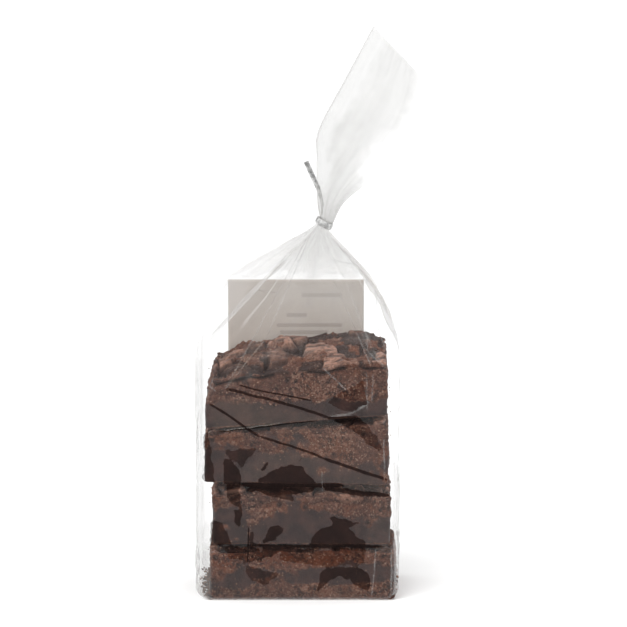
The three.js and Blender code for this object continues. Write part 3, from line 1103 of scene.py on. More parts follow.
@dataclass
class PouchFilm(FilmTube):
    """The film from the folded base up to the tie."""

    front_step: float = 0.85
    other_step: float = 2.2
    stack_rows: int = 96
    tent_rows: int = 62
    neck_rows: int = 4
    side_foot: float = 6.0
    front_foot: float = 1.6
    gusset_milk: float = 0.35
    joint_span: float = 0.88
    pinch_high: float = 0.6
    tight_slack: float = 0.16
    corner_slack: float = 0.5

    def columns(self) -> list[tuple[Panel, float]]:
        """Lays out the film's columns, dense on the front, with one on every fold.

        Returns:
            The panel and the share of each column.
        """
        found = []
        for panel in Panel:
            length = self.form.wide if panel in (Panel.FRONT, Panel.BACK) else self.form.deep
            step = self.front_step if panel is Panel.FRONT else self.other_step
            for (start, _), (end, _) in zip(self.form.folds[panel], self.form.folds[panel][1:]):
                count = max(1, round((end - start) * length / step))
                found += [(panel, mix(start, end, i / count)) for i in range(count)]
        return found

    def wrinkle(self, panel: Panel, point: Vector) -> float:
        """Wrinkles the loose film.

        Args:
            panel: the panel that the point is on.
            point: the smooth form's point.

        Returns:
            How far the film stands off the smooth form.
        """
        broad = noise.noise(point / 17 + Vector((3, 1, 7)))
        tight = noise.noise(Vector((point.x / 5, point.y / 5, point.z / 11)) + Vector((9, 4, 2)))
        crumple = ease(-point.x, 40, 45) * ease(point.z, 32, 20) * ease(point.z, 0.5, 5)
        crease = noise.ridged_multi_fractal(point / 7, 1.0, 2.0, 3, 1.0, 2.0) - 1.2
        if panel is Panel.FRONT:
            slack = self.tight_slack + self.corner_slack * ease(abs(point.x), 42, 49)
            return slack * (broad + 0.5 * tight) + 0.5 * crumple * crease
        if panel is Panel.BACK:
            return 0.3 * broad
        return 0.9 * broad + 0.4 * tight + 0.7 * crumple * crease

    def bridge(self, panel: Panel, z: float) -> float:
        """Returns how far the front film stands out of the joints of the smooth form, which it spans."""
        return self.joint_span * max(0.0, self.form.sink(z)) if panel is Panel.FRONT else 0.0

    def patch_marks(self, panel: Panel, x: float, z: float) -> tuple[float, float, float]:
        """Reads the patches at a point of the film.

        Args:
            panel: the panel the point is on.
            x: where it is across, in millimetres.
            z: how high it is.

        Returns:
            How deep in a patch of grease and painted shade it is, in millimetres, how strong that patch is,
            and how much painted reflection the film has.
        """
        if panel is not Panel.FRONT:
            return -9.0, 0.0, 0.0
        here = Vector((x, 0, z))
        spot = here + noise.noise_vector(here / 9) * 1.1 + noise.noise_vector(here / 3) * 0.7
        grease_and_shade = max((patch.depth(spot.x, spot.z), patch.strength) for patch in GREASE_AND_SHADE_PATCHES)
        # How much painted reflection the film carries here.
        painted_reflection = max(patch.strength * ease(patch.depth(spot.x, spot.z), -0.7, 0.5) for patch in PAINTED_REFLECTION_PATCHES)
        return *grease_and_shade, painted_reflection

    def pinch(self, share: float, z: float) -> float:
        """Works out the pleats that run down from the tent over the top slab's front.

        Args:
            share: how far along the front the point is, from 0 to 1.
            z: how high it is, in millimetres.

        Returns:
            How far the film stands out there, in millimetres.
        """
        low = self.form.shoulder - mix(16, 26, ease(share, 0.2, 0.8))
        fold = follow(self.form.folds[Panel.FRONT], share)
        return self.pinch_high * ease(z, low, self.form.shoulder) * fold

    def foot(self, panel: Panel, share: float, z: float) -> Vector:
        """Rounds the foot of the bag.

        Args:
            panel: the panel that the point is on.
            share: how far along the panel it is, from 0 to 1.
            z: the point's height.

        Returns:
            The way inwards that the film is drawn there.
        """
        x, y = self.form.outline_point(panel, share)
        feet = (self.side_foot, self.front_foot)
        side, front = (foot - math.sqrt(foot**2 - max(0.0, foot - z) ** 2) for foot in feet)
        return Vector((-side * 2 * x / self.form.wide, -front * 2 * y / self.form.deep, 0))

    def skin_point(self, panel: Panel, share: float, row: int) -> Vector:
        """Finds the film's point in a row.

        Args:
            panel: the panel that the point is on.
            share: how far along the panel it is, from 0 to 1.
            row: the row, counted from the base up to the neck.

        Returns:
            The point.
        """
        form = self.form
        if row <= self.stack_rows:
            z = form.shoulder * (row / self.stack_rows) ** 1.12
            point = form.stack_point(panel, share, z) + self.foot(panel, share, z)
            x, y = form.outline_point(panel, share)
            outward = Vector((x / form.wide, y / form.deep, 0)).normalized()
            if panel is Panel.FRONT:
                outward = Vector((0, -1, 0))
            lift = self.wrinkle(panel, point) * ease(z, 0.5, 8) + self.bridge(panel, z)
            if panel is Panel.FRONT:
                lift += self.pinch(share, z)
            return point + outward * lift
        row -= self.stack_rows
        if row > self.tent_rows:
            along = mix(-form.neck_half_long, 0, (row - self.tent_rows) / self.neck_rows)
            return form.neck_point(panel, share, along)
        rise = row / self.tent_rows
        point = form.tent_point(panel, share, rise)
        if panel is Panel.FRONT:
            point.y -= self.pinch(share, form.shoulder) * (1 - ease(rise, 0, 0.25))
        loose = ease(rise, 0, 0.15) * ease(rise, 1, 0.8)
        if panel is Panel.BACK and point.z < form.label_top + 1:
            loose = 0.0
        axis = Vector((mix(0, form.neck.x, rise), 0, point.z))
        bend = noise.noise(point / 12) * 1.3 + noise.noise(point / 4.5) * 0.35
        return point + (point - axis).normalized() * bend * loose

    def build(self, materials: Finishes) -> bpy.types.Object:
        """Rolls the pouch, closes its base and marks its front and its gathers.

        Args:
            materials: the finishes of the front, of its lining and of the other film.

        Returns:
            The film below the tie.
        """
        rows = self.stack_rows + self.tent_rows + self.neck_rows
        bm, found = self.wrap(rows, self.columns(), self.skin_point)
        gather, *marks = (bm.verts.layers.float[name] for name in FILM_MARKS)
        form = self.form
        front = set()
        for vert, panel, _, _ in found:
            x, y, z = vert.co
            for mark, value in zip(marks, self.patch_marks(panel, x, z)):
                vert[mark] = value
            near_neck = (vert.co - form.neck).length
            milky = 0.25 * ease(z, form.shoulder + 6, form.label_top + 4) + 0.75 * ease(near_neck, 50, 4)
            if panel in (Panel.RIGHT, Panel.LEFT):
                milky *= self.gusset_milk
            beside = max(0.46 * ease(-x, 45, 47.5), 0.5 * ease(x, 46, 48.5) * ease(z, 80, 50))
            beside *= ease(z, form.shoulder + 10, form.shoulder - 10)
            crumple = ease(-x, 41, 45) * ease(z, 32, 22)
            vert[gather] = max(milky, beside, 0.65 * crumple)
            if panel is Panel.FRONT:
                front.add(vert)
        for face in bm.faces:
            face.material_index = 0 if sum(vert in front for vert in face.verts) > 2 else 2
        rim = [edge for edge in bm.edges if edge.is_boundary and edge.verts[0].co.z < form.shoulder]
        bmesh.ops.holes_fill(bm, edges=rim, sides=0)
        return self.finish("film_pouch", bm, materials)


@dataclass
class FilmFan(FilmTube):
    """The spare film above the tie: the tube pressed flat, waved to and fro and cut open at the top."""

    rows: int = 104
    wide_step: float = 1 / 96
    left_edge: tuple[Knot, ...] = (
        (9.6, 185), (9.4, 197), (9.3, 214), (10.2, 228.5), (23.2, 253.5), (37, 279.2),
    )
    right_edge: tuple[Knot, ...] = (
        (17.4, 181), (22.6, 192.5), (36.5, 203.5), (53.5, 211.5), (66.4, 230), (66, 248.5),
    )
    front_fold: tuple[Knot, ...] = ((0, 0), (0.36, 0.38), (0.42, 0.4), (0.74, 0.77), (0.79, 0.79), (1, 1))
    back_fold: tuple[Knot, ...] = ((0, 0), (0.27, 0.285), (0.33, 0.3), (0.6, 0.62), (0.66, 0.64), (1, 1))
    waves: tuple[Knot, ...] = ((0, 0.2), (0.2, 0.9), (0.42, -0.8), (0.62, 0.75), (0.82, -0.85), (1, 0.2))
    milk: tuple[Knot, ...] = (
        (0, 0.5), (0.2, 0.5), (0.38, 0.98), (0.8, 0.8), (0.93, 0.48), (1.0, 0.3), (1.06, 0.02),
    )
    milky_to: tuple[Knot, ...] = (
        (0, 1.3), (0.3, 1.05), (0.38, 0.92), (0.44, 0.76), (0.52, 0.64), (0.62, 0.58), (0.72, 0.7),
        (0.85, 0.76), (1, 0.79),
    )
    neck_milk: float = 1.8
    top_milk: float = 0.62
    half_thick: float = 1.5
    wave: float = 0.9
    gusset_fold: float = 0.02

    def columns(self) -> list[tuple[Panel, float]]:
        """Lays out the fan's columns.

        Returns:
            The panel and the share of each column.
        """
        found = []
        for panel in Panel:
            count = round(1 / self.wide_step) if panel in (Panel.FRONT, Panel.BACK) else 14
            found += [(panel, i / count) for i in range(count)]
        return found

    def edge(self, points: tuple[Knot, ...], rise: float) -> Vector:
        """Follows a smooth curve through the points of one edge of the fan.

        Args:
            points: the edge's points.
            rise: 0 at the neck and 1 at the cut edge.

        Returns:
            The point on the edge, with the height as its Y.
        """
        place = rise * (len(points) - 1)
        i = min(int(place), len(points) - 2)
        share = place - i
        a, b, c, d = (Vector((*points[max(0, min(len(points) - 1, k))], 0)) for k in range(i - 1, i + 3))
        curve = 2 * b + (c - a) * share
        curve += (2 * a - 5 * b + 4 * c - d) * share**2 + (3 * b - a - 3 * c + d) * share**3
        return curve / 2

    def smooth_wave(self, across: float) -> float:
        """Waves the fan to and fro, rounded at each fold.

        Args:
            across: how far across the fan the point is, from 0 to 1.

        Returns:
            The depth of the wave, from about -1 to 1.
        """
        for (start, low), (end, high) in zip(self.waves, self.waves[1:]):
            if across <= end:
                return mix(low, high, ease(across, start, end))
        return self.waves[-1][1]

    def spread(self, panel: Panel, share: float, rise: float) -> tuple[float, float]:
        """Presses the tube flat.

        Args:
            panel: the panel that the point is on.
            share: how far along the panel it is, from 0 to 1.
            rise: 0 at the neck and 1 at the cut edge.

        Returns:
            How far across the fan the point lies, and the depth of its layer.
        """
        open_up = ease(rise, 0.08, 0.55)
        if panel is Panel.FRONT:
            across = mix(share, follow(self.front_fold, share), open_up)
            return across, -self.half_thick - 0.25 * math.sin(share * 5 * math.pi)
        if panel is Panel.BACK:
            across = mix(1 - share, follow(self.back_fold, 1 - share), open_up)
            return across, self.half_thick + 0.25 * math.sin(share * 4 * math.pi)
        tuck = self.gusset_fold * (1 - abs(2 * share - 1)) * open_up
        if panel is Panel.RIGHT:
            return 1 - tuck, mix(-self.half_thick, self.half_thick, share)
        return tuck, mix(self.half_thick, -self.half_thick, share)

    def skin_point(self, panel: Panel, share: float, row: int) -> Vector:
        """Finds the fan's point in a row.

        Args:
            panel: the panel that the point is on.
            share: how far along the panel it is, from 0 to 1.
            row: the row, counted from the neck up to the cut edge.

        Returns:
            The point.
        """
        along = self.form.neck_half_long
        if row == 0:
            return self.form.neck_point(panel, share, 0)
        rise = (row - 1) / (self.rows - 1)
        across, layer = self.spread(panel, share, rise)
        flat = self.edge(self.left_edge, rise).lerp(self.edge(self.right_edge, rise), across)
        depth = self.wave * ease(rise, 0.05, 0.5) * self.smooth_wave(across)
        thin = mix(0.45, 1.0, math.sin(math.pi * across))
        point = Vector((flat.x, depth + layer * thin, flat.y))
        point.y += (noise.noise(point / 16) * 1.2 + noise.noise(point / 6) * 0.3) * ease(rise, 0.1, 0.4)
        start = self.form.neck_point(panel, share, along)
        return start.lerp(point, ease(rise, 0, 0.2))

    def build(self, materials: Finishes) -> bpy.types.Object:
        """Rolls the fan and marks where its layers look milky.

        Args:
            materials: the plain finish.

        Returns:
            The film above the tie.
        """
        bm, found = self.wrap(self.rows, self.columns(), self.skin_point)
        gather = bm.verts.layers.float["gather"]
        for vert, panel, share, row in found:
            rise = row / self.rows
            across, _ = self.spread(panel, share, rise)
            ragged = 0.05 * noise.noise(vert.co / 4) + 0.06 * noise.noise(vert.co / 12)
            share_milky = (across + ragged * ease(rise, 0.1, 0.3)) / follow(self.milky_to, rise)
            zone = follow(self.milk, share_milky) * mix(1.0, self.top_milk, ease(rise, 0.3, 0.95))
            vert[gather] = mix(self.neck_milk, zone, ease(rise, 0.0, 0.36))
        return self.finish("film_fan", bm, materials)


@dataclass
class BrownieSlab:
    """One cut slab: a rough block with a thin crackled crust that lips over its sides."""

    name: str
    left: float
    right: float
    front: float
    back: float
    base_left: float
    base_right: float
    top_left: float
    top_right: float
    seed: int
    crumbly: tuple[Knot, ...]
    back_rise: float = 0.0
    left_fall: float = 1.5
    right_fall: float = 1.5
    front_drop: float = 0.5
    dome: float = 2.0
    edge_round: float = 2.2
    lean: float = 0.0
    lip_crust: float = 1.0
    lip_deep: float = 3.4
    top_in: float = 0.0
    lumpy: float = 0.0
    hot_from: float = 2.0
    film_front: float = -30.2
    cell: float = 0.62
    plate_wide: float = 13.0
    plate_bend: float = 5.0

    def box_point(self, a: float, b: float, c: float) -> Vector:
        """Finds a point of the slab's sloped box from shares of -1 to 1 along its sides.

        Args:
            a: the share from left to right.
            b: the share from front to back.
            c: the share upwards.

        Returns:
            The point.
        """
        across, deep, high = (a + 1) / 2, (b + 1) / 2, (c + 1) / 2
        x = mix(self.left, self.right, across) + self.top_in * ease(high, 0.35, 1.0) * (1 - across) ** 3
        y = mix(self.front, self.back, deep)
        base = mix(self.base_left, self.base_right, across)
        top = mix(self.top_left, self.top_right, across) + self.back_rise * ease(deep, 0, 0.8)
        top += self.dome * (1 - a**4) * (1 - b**4)
        top -= self.left_fall * ease(-a, 0.5, 1.0) ** 1.5 * mix(0.6, 1, deep)
        top -= self.right_fall * ease(a, 0.6, 1.0) ** 1.5 * mix(0.4, 1, deep)
        ragged = 1 + 1.4 * noise.noise(Vector((x / 11, self.seed * 4.0, 0)))
        top -= self.front_drop * ragged * ease(-b, 0.72, 1.0)
        top += self.lumpy * noise.noise(Vector((x / 14, y / 22, self.seed * 3.0)))
        return Vector((x, y, mix(base, top, high)))

    def rounded(self, co: Vector) -> tuple[Vector, Vector]:
        """Rounds the box's edges.

        Args:
            co: shares from -1 to 1 along the slab's sides.

        Returns:
            The point and the way out of the slab there.
        """
        size = Vector((self.right - self.left, self.back - self.front, self.top_left - self.base_left)) / 2
        wobble = noise.noise(self.box_point(*co) / 6 + Vector((self.seed, 0, 0)))
        radius = self.edge_round * (1 + 0.45 * wobble) * (1.25 if co.z > 0 else 0.7)
        limit = [1 - radius / side for side in size]
        core = Vector([max(-cap, min(cap, value)) for cap, value in zip(limit, co)])
        outward = Vector([(value - inner) * side for value, inner, side in zip(co, core, size)])
        outward.normalize()
        return self.box_point(*core) + outward * radius, outward

    def crust_relief(self, here: Vector, grainy: float) -> tuple[float, float, float, float]:
        """Works out the crust: tilted plates with deep cracks between them, flaked off in places.

        Args:
            here: the point, moved to the slab's own stretch of the patterns.
            grainy: the crumb's relief there.

        Returns:
            The height, how far the crust is missing, how much painted shade the point gets in a crack, fold
            trough or sunken plate, and its plate's tone.
        """
        bend = noise.noise_vector(here / 11) * self.plate_bend
        flat = (Vector((here.x, here.y * 0.75, here.z * 0.25)) + bend) / self.plate_wide
        (near, far, *_), (cell_at, *_) = noise.voronoi(flat)
        crack = ease(far - near, 0.13, 0.01)
        tilt = Vector([noise.cell(cell_at * 5.3 + Vector((k * 3.1, 0, 0))) / 2 for k in range(3)])
        plate = 2.6 * tilt.z - 0.6 + 3.8 * tilt.dot(flat - cell_at)
        tone = 0.5 + tilt.z
        folded = Vector((here.x / 9, here.y / 5, 1.0))
        folds = noise.ridged_multi_fractal(folded, 0.9, 2.0, 3, 0.9, 2.0) - 1.0
        flaked = noise.noise(here / 10 + Vector((0, 8, 0))) + 0.2 * noise.noise(here / 2.5)
        missing = ease(flaked, 0.12, 0.2)
        whole = plate + 0.7 * folds - 2.4 * crack
        # Painted shade in the cracks, the troughs of the folds and the sunken plates.
        painted_crack_shade = max(crack, 0.8 * ease(folds, -0.1, -0.5), 0.6 * ease(plate, -0.7, -1.8))
        return mix(whole, -1.3 + grainy * 1.6, missing), missing, painted_crack_shade * (1 - missing), tone

    def relief(self, point: Vector, outward: Vector, share: float, below_top: float) -> tuple[float, ...]:
        """Works out the slab's surface at a point.

        Args:
            point: the smooth point.
            outward: the way out of the slab there.
            share: how far up the slab the point is.
            below_top: how far the point is under the slab's top.

        Returns:
            The height to move outward, the crust and smear shares, the deep share of painted shade in
            recesses, the crust plate's tone and how orange the crumb is.
        """
        here = point + Vector((self.seed * 13.7, self.seed * 5.1, self.seed * 9.3))
        upness = ease(outward.z, 0.35, 0.8)
        under = ease(outward.z, -0.3, -0.8)
        # Where the cut face is crumbly and where it is smeared.
        broad = noise.noise(here / 15)
        patchy = 0.85 * noise.noise(here / 17 + Vector((5, 5, 5))) + 0.4 * noise.noise(here / 5.5)
        patchy += 0.16 * noise.noise(here / 1.8)
        crumbly = ease(follow(self.crumbly, share + self.lean * point.x / 100) + patchy, 0.4, 0.56)
        grainy = 0.66 * noise.fractal(here / 2.6, 0.7, 2.1, 4) + 0.36 * noise.noise(here)
        # Holes that bubbles left, and the cleft under the crust's lip, which are also darkened with painted
        # shade.
        (pit_near, *_), (pit_at, *_) = noise.voronoi(here / 6.5)
        pit = ease(pit_near, 0.3, 0.12) * (1.0 if noise.cell(pit_at * 7.7) > 0.45 else 0.0)
        lip_line = self.lip_deep + 1.3 * noise.noise(here / 7)
        cleft_on = ease(noise.noise(Vector((here.x / 13, here.y / 13, self.seed * 2.3))), -0.3, -0.08)
        cleft = math.exp(-(((below_top - lip_line) / 0.8) ** 2)) * cleft_on
        lip = ease(below_top, lip_line, lip_line - 1.2)
        cleft *= self.lip_crust
        lip *= self.lip_crust
        side = grainy * mix(0.2, 1.0, crumbly) - pit * mix(0.3, 1.0, crumbly) - 2.2 * cleft + 0.5 * lip
        # The crust on top, its lip over the sides, and the shares that the finish reads; deep is painted
        # shade in the pits, clefts, cracks and lowest crumb.
        crust_height, missing, crack, tone = self.crust_relief(here, grainy)
        height = 0.7 * broad + mix(side, crust_height, upness)
        on_lip = ease(below_top, lip_line - 0.3, lip_line - 1.0) * (1 - under) * self.lip_crust
        crust = max(upness, on_lip) * (1 - missing)
        smear = (1 - crumbly) * (1 - upness) * (1 - under)
        # Painted shade on the lowest crumb; deep gathers all the painted shade of the recesses.
        low_crumb_shade = 0.75 * ease(-grainy, 0.12, 0.6) * crumbly
        deep = max(pit * (1 - upness), cleft * (1 - upness), crack * upness, low_crumb_shade * (1 - upness))
        hot = ease(share + 0.1 * broad, self.hot_from, self.hot_from + 0.15) * ease(broad, -0.5, 0.0)
        return height * (1 - 0.85 * under), crust, smear, deep, tone, hot

    def build(self, material: bpy.types.Material) -> bpy.types.Object:
        """Cuts a cube into fine squares and shapes it into the slab.

        Args:
            material: the brownie's finish.

        Returns:
            The slab, which rides on the root body.
        """
        bm = bmesh.new()
        bmesh.ops.create_cube(bm, size=2.0)
        size = (self.right - self.left, self.back - self.front, self.top_left - self.base_left)
        for axis, length in enumerate(size):
            edges = [e for e in bm.edges if abs(e.verts[0].co[axis] - e.verts[1].co[axis]) > 1e-6]
            bmesh.ops.subdivide_edges(bm, edges=edges, cuts=round(length / self.cell), use_grid_fill=True)
        marks = [bm.verts.layers.float.new(name) for name in SLAB_MARKS]
        for vert in bm.verts:
            smooth, outward = self.rounded(vert.co)
            top = self.box_point(vert.co.x, vert.co.y, 1).z
            height, *shares = self.relief(smooth, outward, (vert.co.z + 1) / 2, top - smooth.z)
            vert.co = smooth + outward * height
            vert.co.y = max(vert.co.y, self.film_front)
            for mark, share in zip(marks, shares):
                vert[mark] = share
        piece = finish_mesh(self.name, bm, [material])
        return piece


@dataclass
class LooseCrumbs:
    """Crumbs between the slabs and the film, in the foot of the bag and along the joints."""

    form: BagForm
    seed: int = 5

    def places(self) -> list[tuple[Vector, float]]:
        """Scatters the crumbs by their own fixed draw.

        Returns:
            The middle and the size of each crumb.
        """
        draw = random.Random(self.seed)
        front = -self.form.deep / 2
        half = self.form.wide / 2
        found = []
        bands = (
            (1.2, 1.6, 700), (4.5, 3.2, 420), (20.0, 3.5, 260), (26.5, 1.4, 120), (50.0, 4.0, 170),
            (78.0, 5.0, 130), (60.0, 30.0, 160), (108.0, 6.0, 160),
        )
        for middle, spread, count in bands:
            for _ in range(count):
                x = draw.uniform(-half + 6, half - 3.5)
                z = max(0.4, draw.gauss(middle, spread))
                y = front + draw.uniform(0.35, 0.9) + max(0.0, 1.6 - z)
                found.append((Vector((x, y, z)), draw.uniform(0.14, 0.42)))
        for side, high, count in ((-1, 1.6, 420), (1, 4.4, 700)):
            for _ in range(count):
                over = abs(draw.gauss(0, high))
                foot = 0.55 * max(0.0, 5.5 - over) ** 1.25
                x = side * (half - 0.9 - foot - abs(draw.gauss(0, 2.4)))
                y = draw.uniform(front + 1.2, -front - 2.5)
                found.append((Vector((x, y, 0.5 + over)), draw.uniform(0.2, 0.85)))
        return found

    def build(self, material: bpy.types.Material) -> bpy.types.Object:
        """Makes every crumb as a small lump and joins them.

        Args:
            material: the crumbs' finish.

        Returns:
            The crumbs as one piece.
        """
        bm = bmesh.new()
        draw = random.Random(self.seed + 1)
        for middle, size in self.places():
            turn = Matrix.Rotation(draw.uniform(0, math.tau), 4, Vector((draw.random(), draw.random(), 1)))
            flat = (draw.uniform(0.7, 1.2), draw.uniform(0.7, 1.2), draw.uniform(0.5, 1.0), 1)
            squash = Matrix.Diagonal(flat)
            matrix = Matrix.Translation(middle) @ turn @ squash
            made = bmesh.ops.create_icosphere(bm, subdivisions=1, radius=size, matrix=matrix)
            for vert in made["verts"]:
                vert.co += (vert.co - middle) * draw.uniform(-0.3, 0.25)
        piece = finish_mesh("crumbs", bm, [material])
        return piece


@dataclass
class TwistTie:
    """A foil tape with a wire in it, wound round the neck, with its ends twisted together behind."""

    form: BagForm
    half_wide: float = 1.55
    tape_thick: float = 0.16
    wire: float = 0.34
    gap: float = 0.35
    turns: float = 1.12
    tail_turns: float = 0.3
    tail_squeeze: float = 0.8
    section_points: int = 14
    tail: tuple[tuple[float, float, float], ...] = (
        (11.6, 3.6, 184.3), (12.2, 5.0, 189.5), (11.0, 5.3, 196.0), (8.2, 4.6, 203.3), (4.1, 3.4, 212.6),
    )

    def section(self, index: int) -> tuple[float, float]:
        """Finds a point of the tape's section, with the wire's bulge in its middle.

        Args:
            index: the point's number.

        Returns:
            Its place across the tape and its height over it.
        """
        angle = index / self.section_points * math.tau
        across = math.cos(angle)
        bulge = self.wire * math.exp(-((across / 0.22) ** 2))
        return across * self.half_wide, math.sin(angle) * (self.tape_thick + bulge)

    def band_frame(self, share: float) -> tuple[Vector, Vector, Vector]:
        """Winds the band round the neck.

        Args:
            share: how far along the band the point is, from 0 to 1.

        Returns:
            The middle of the tape and the directions across and over it.
        """
        form = self.form
        angle = math.radians(150) + share * self.turns * math.tau
        right = Vector((math.cos(form.neck_dip), 0, -math.sin(form.neck_dip)))
        up = Vector((math.sin(form.neck_dip), 0, math.cos(form.neck_dip)))
        overlap = 0.5 * ease(share, 0.82, 0.95)
        reach = self.gap + self.tape_thick + overlap
        oval = right * ((form.neck_half_wide + reach) * math.cos(angle))
        oval.y += (form.neck_half_deep + reach) * math.sin(angle)
        slip = up * (0.7 * (share - 0.5))
        return form.neck + oval + slip, up, oval.normalized()

    def tail_frame(self, share: float) -> tuple[Vector, Vector, Vector]:
        """Runs the two ends along their route, pressed into one strip that turns about it.

        Args:
            share: how far along the ends the point is, from 0 to 1.

        Returns:
            The middle of the strip and the directions across and over it.
        """
        place = share * (len(self.tail) - 1)
        i = min(int(place), len(self.tail) - 2)
        a, b = Vector(self.tail[i]), Vector(self.tail[i + 1])
        before = Vector(self.tail[max(0, i - 1)])
        after = Vector(self.tail[min(len(self.tail) - 1, i + 2)])
        part = place - i
        along = (b - before).lerp(after - a, part).normalized()
        side = Vector((1, 0, 0)).cross(along).normalized()
        side = Matrix.Rotation(share * self.tail_turns * math.tau, 3, along) @ side
        bow = 4 * part * (1 - part) * 0.12 * (b - a).length
        middle = a.lerp(b, part) + ((a - before) - (after - b)).normalized() * bow * 0.5
        return middle, side, along.cross(side)

    def strip(
        self, name: str, rows: int, frame: Callable, squeeze: float, material: bpy.types.Material
    ) -> bpy.types.Object:
        """Sweeps the tape's section along a route.

        Args:
            name: the piece's name.
            rows: steps along the route.
            frame: gives the middle line and two directions for a share of the way.
            squeeze: how wide the tape is beside its full width.
            material: the foil's finish.

        Returns:
            The strip as a closed piece.
        """

        def place(column: int, row: int) -> Vector:
            """Finds a point of the strip.

            Args:
                column: the point's number round the section.
                row: its step along the route.

            Returns:
                The point, in millimetres.
            """
            middle, across, over = frame(row / rows)
            wide, high = self.section(column)
            ripple = 0.08 * noise.noise(Vector((row * 0.9, column * 1.7, squeeze * 9)))
            return middle + across * wide * squeeze + over * (high + ripple)

        bm = rolled_sheet(self.section_points, rows, place)
        bmesh.ops.holes_fill(bm, edges=[edge for edge in bm.edges if edge.is_boundary], sides=0)
        bmesh.ops.recalc_face_normals(bm, faces=bm.faces)
        piece = finish_mesh(name, bm, [material])
        return piece

    def build(self, material: bpy.types.Material) -> list[bpy.types.Object]:
        """Makes the band and its twisted ends.

        Args:
            material: the foil's finish.

        Returns:
            Both strips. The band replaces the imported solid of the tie.
        """
        band = self.strip("tie_band", 96, self.band_frame, 1.0, material)
        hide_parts("twist_tie")
        return [band, self.strip("tie_ends", 90, self.tail_frame, self.tail_squeeze, material)]


INNER_BARS = (
    Bar(0.91, 0.545, 0.84),
    Bar(0.795, 0.43, 0.58),
    Bar(0.737, 0.36, 0.84),
    Bar(0.695, 0.38, 0.735),
)
OUTER_BARS = INNER_BARS + (
    Bar(0.6, 0.16, 0.84),
    Bar(0.555, 0.22, 0.84),
    Bar(0.51, 0.16, 0.84),
    Bar(0.465, 0.38, 0.84),
    Bar(0.36, 0.18, 0.84),
    Bar(0.315, 0.26, 0.84),
    Bar(0.27, 0.44, 0.84),
    Bar(0.14, 0.5, 0.84, 0.02),
)


@dataclass
class PaperLabel:
    """The paper label stuck to the back of the bag, seen from behind through the film."""

    low: Vector
    high: Vector
    thick: float = 0.12
    # The inner face's paper and ink are darker copies of the outer ones, with painted shade.
    shaded_paper: tuple = colour(0.46, 0.408, 0.366)
    shaded_ink: tuple = colour(0.22, 0.192, 0.172)
    paper: tuple = colour(0.8, 0.79, 0.76)
    ink: tuple = colour(0.12, 0.115, 0.11)

    def build(self) -> bpy.types.Object:
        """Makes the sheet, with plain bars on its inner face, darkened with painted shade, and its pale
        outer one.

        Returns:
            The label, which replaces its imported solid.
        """
        faces = (
            PaperFinish("label_inside_painted_shade", self.shaded_paper, self.shaded_ink, 0.45, INNER_BARS),
            PaperFinish("label_outside", self.paper, self.ink, 1.0, OUTER_BARS),
        )
        low, high = self.low / MILLIMETRE, self.high / MILLIMETRE
        middle, size = (low + high) / 2, high - low
        bm = bmesh.new()
        bmesh.ops.create_grid(bm, x_segments=56, y_segments=70, size=0.5)
        for vert in bm.verts:
            x, z = vert.co.x * size.x, vert.co.y * size.z
            curl = 0.9 * (2 * x / size.x) ** 4 * ease(z / size.z, 0.1, 0.5)
            wave = 0.25 * noise.noise(Vector((x / 18, z / 18, 4)))
            vert.co = Vector((middle.x + x, low.y - 0.05 - 0.2 * curl + wave * 0.4, middle.z + z))
        piece = finish_mesh("paper_label", bm, [face.build(self.low, self.high) for face in faces])
        wall = piece.modifiers.new("sheet", "SOLIDIFY")
        wall.thickness = self.thick * MILLIMETRE
        wall.offset = -1.0
        wall.material_offset = 1
        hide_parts("label")
        return piece


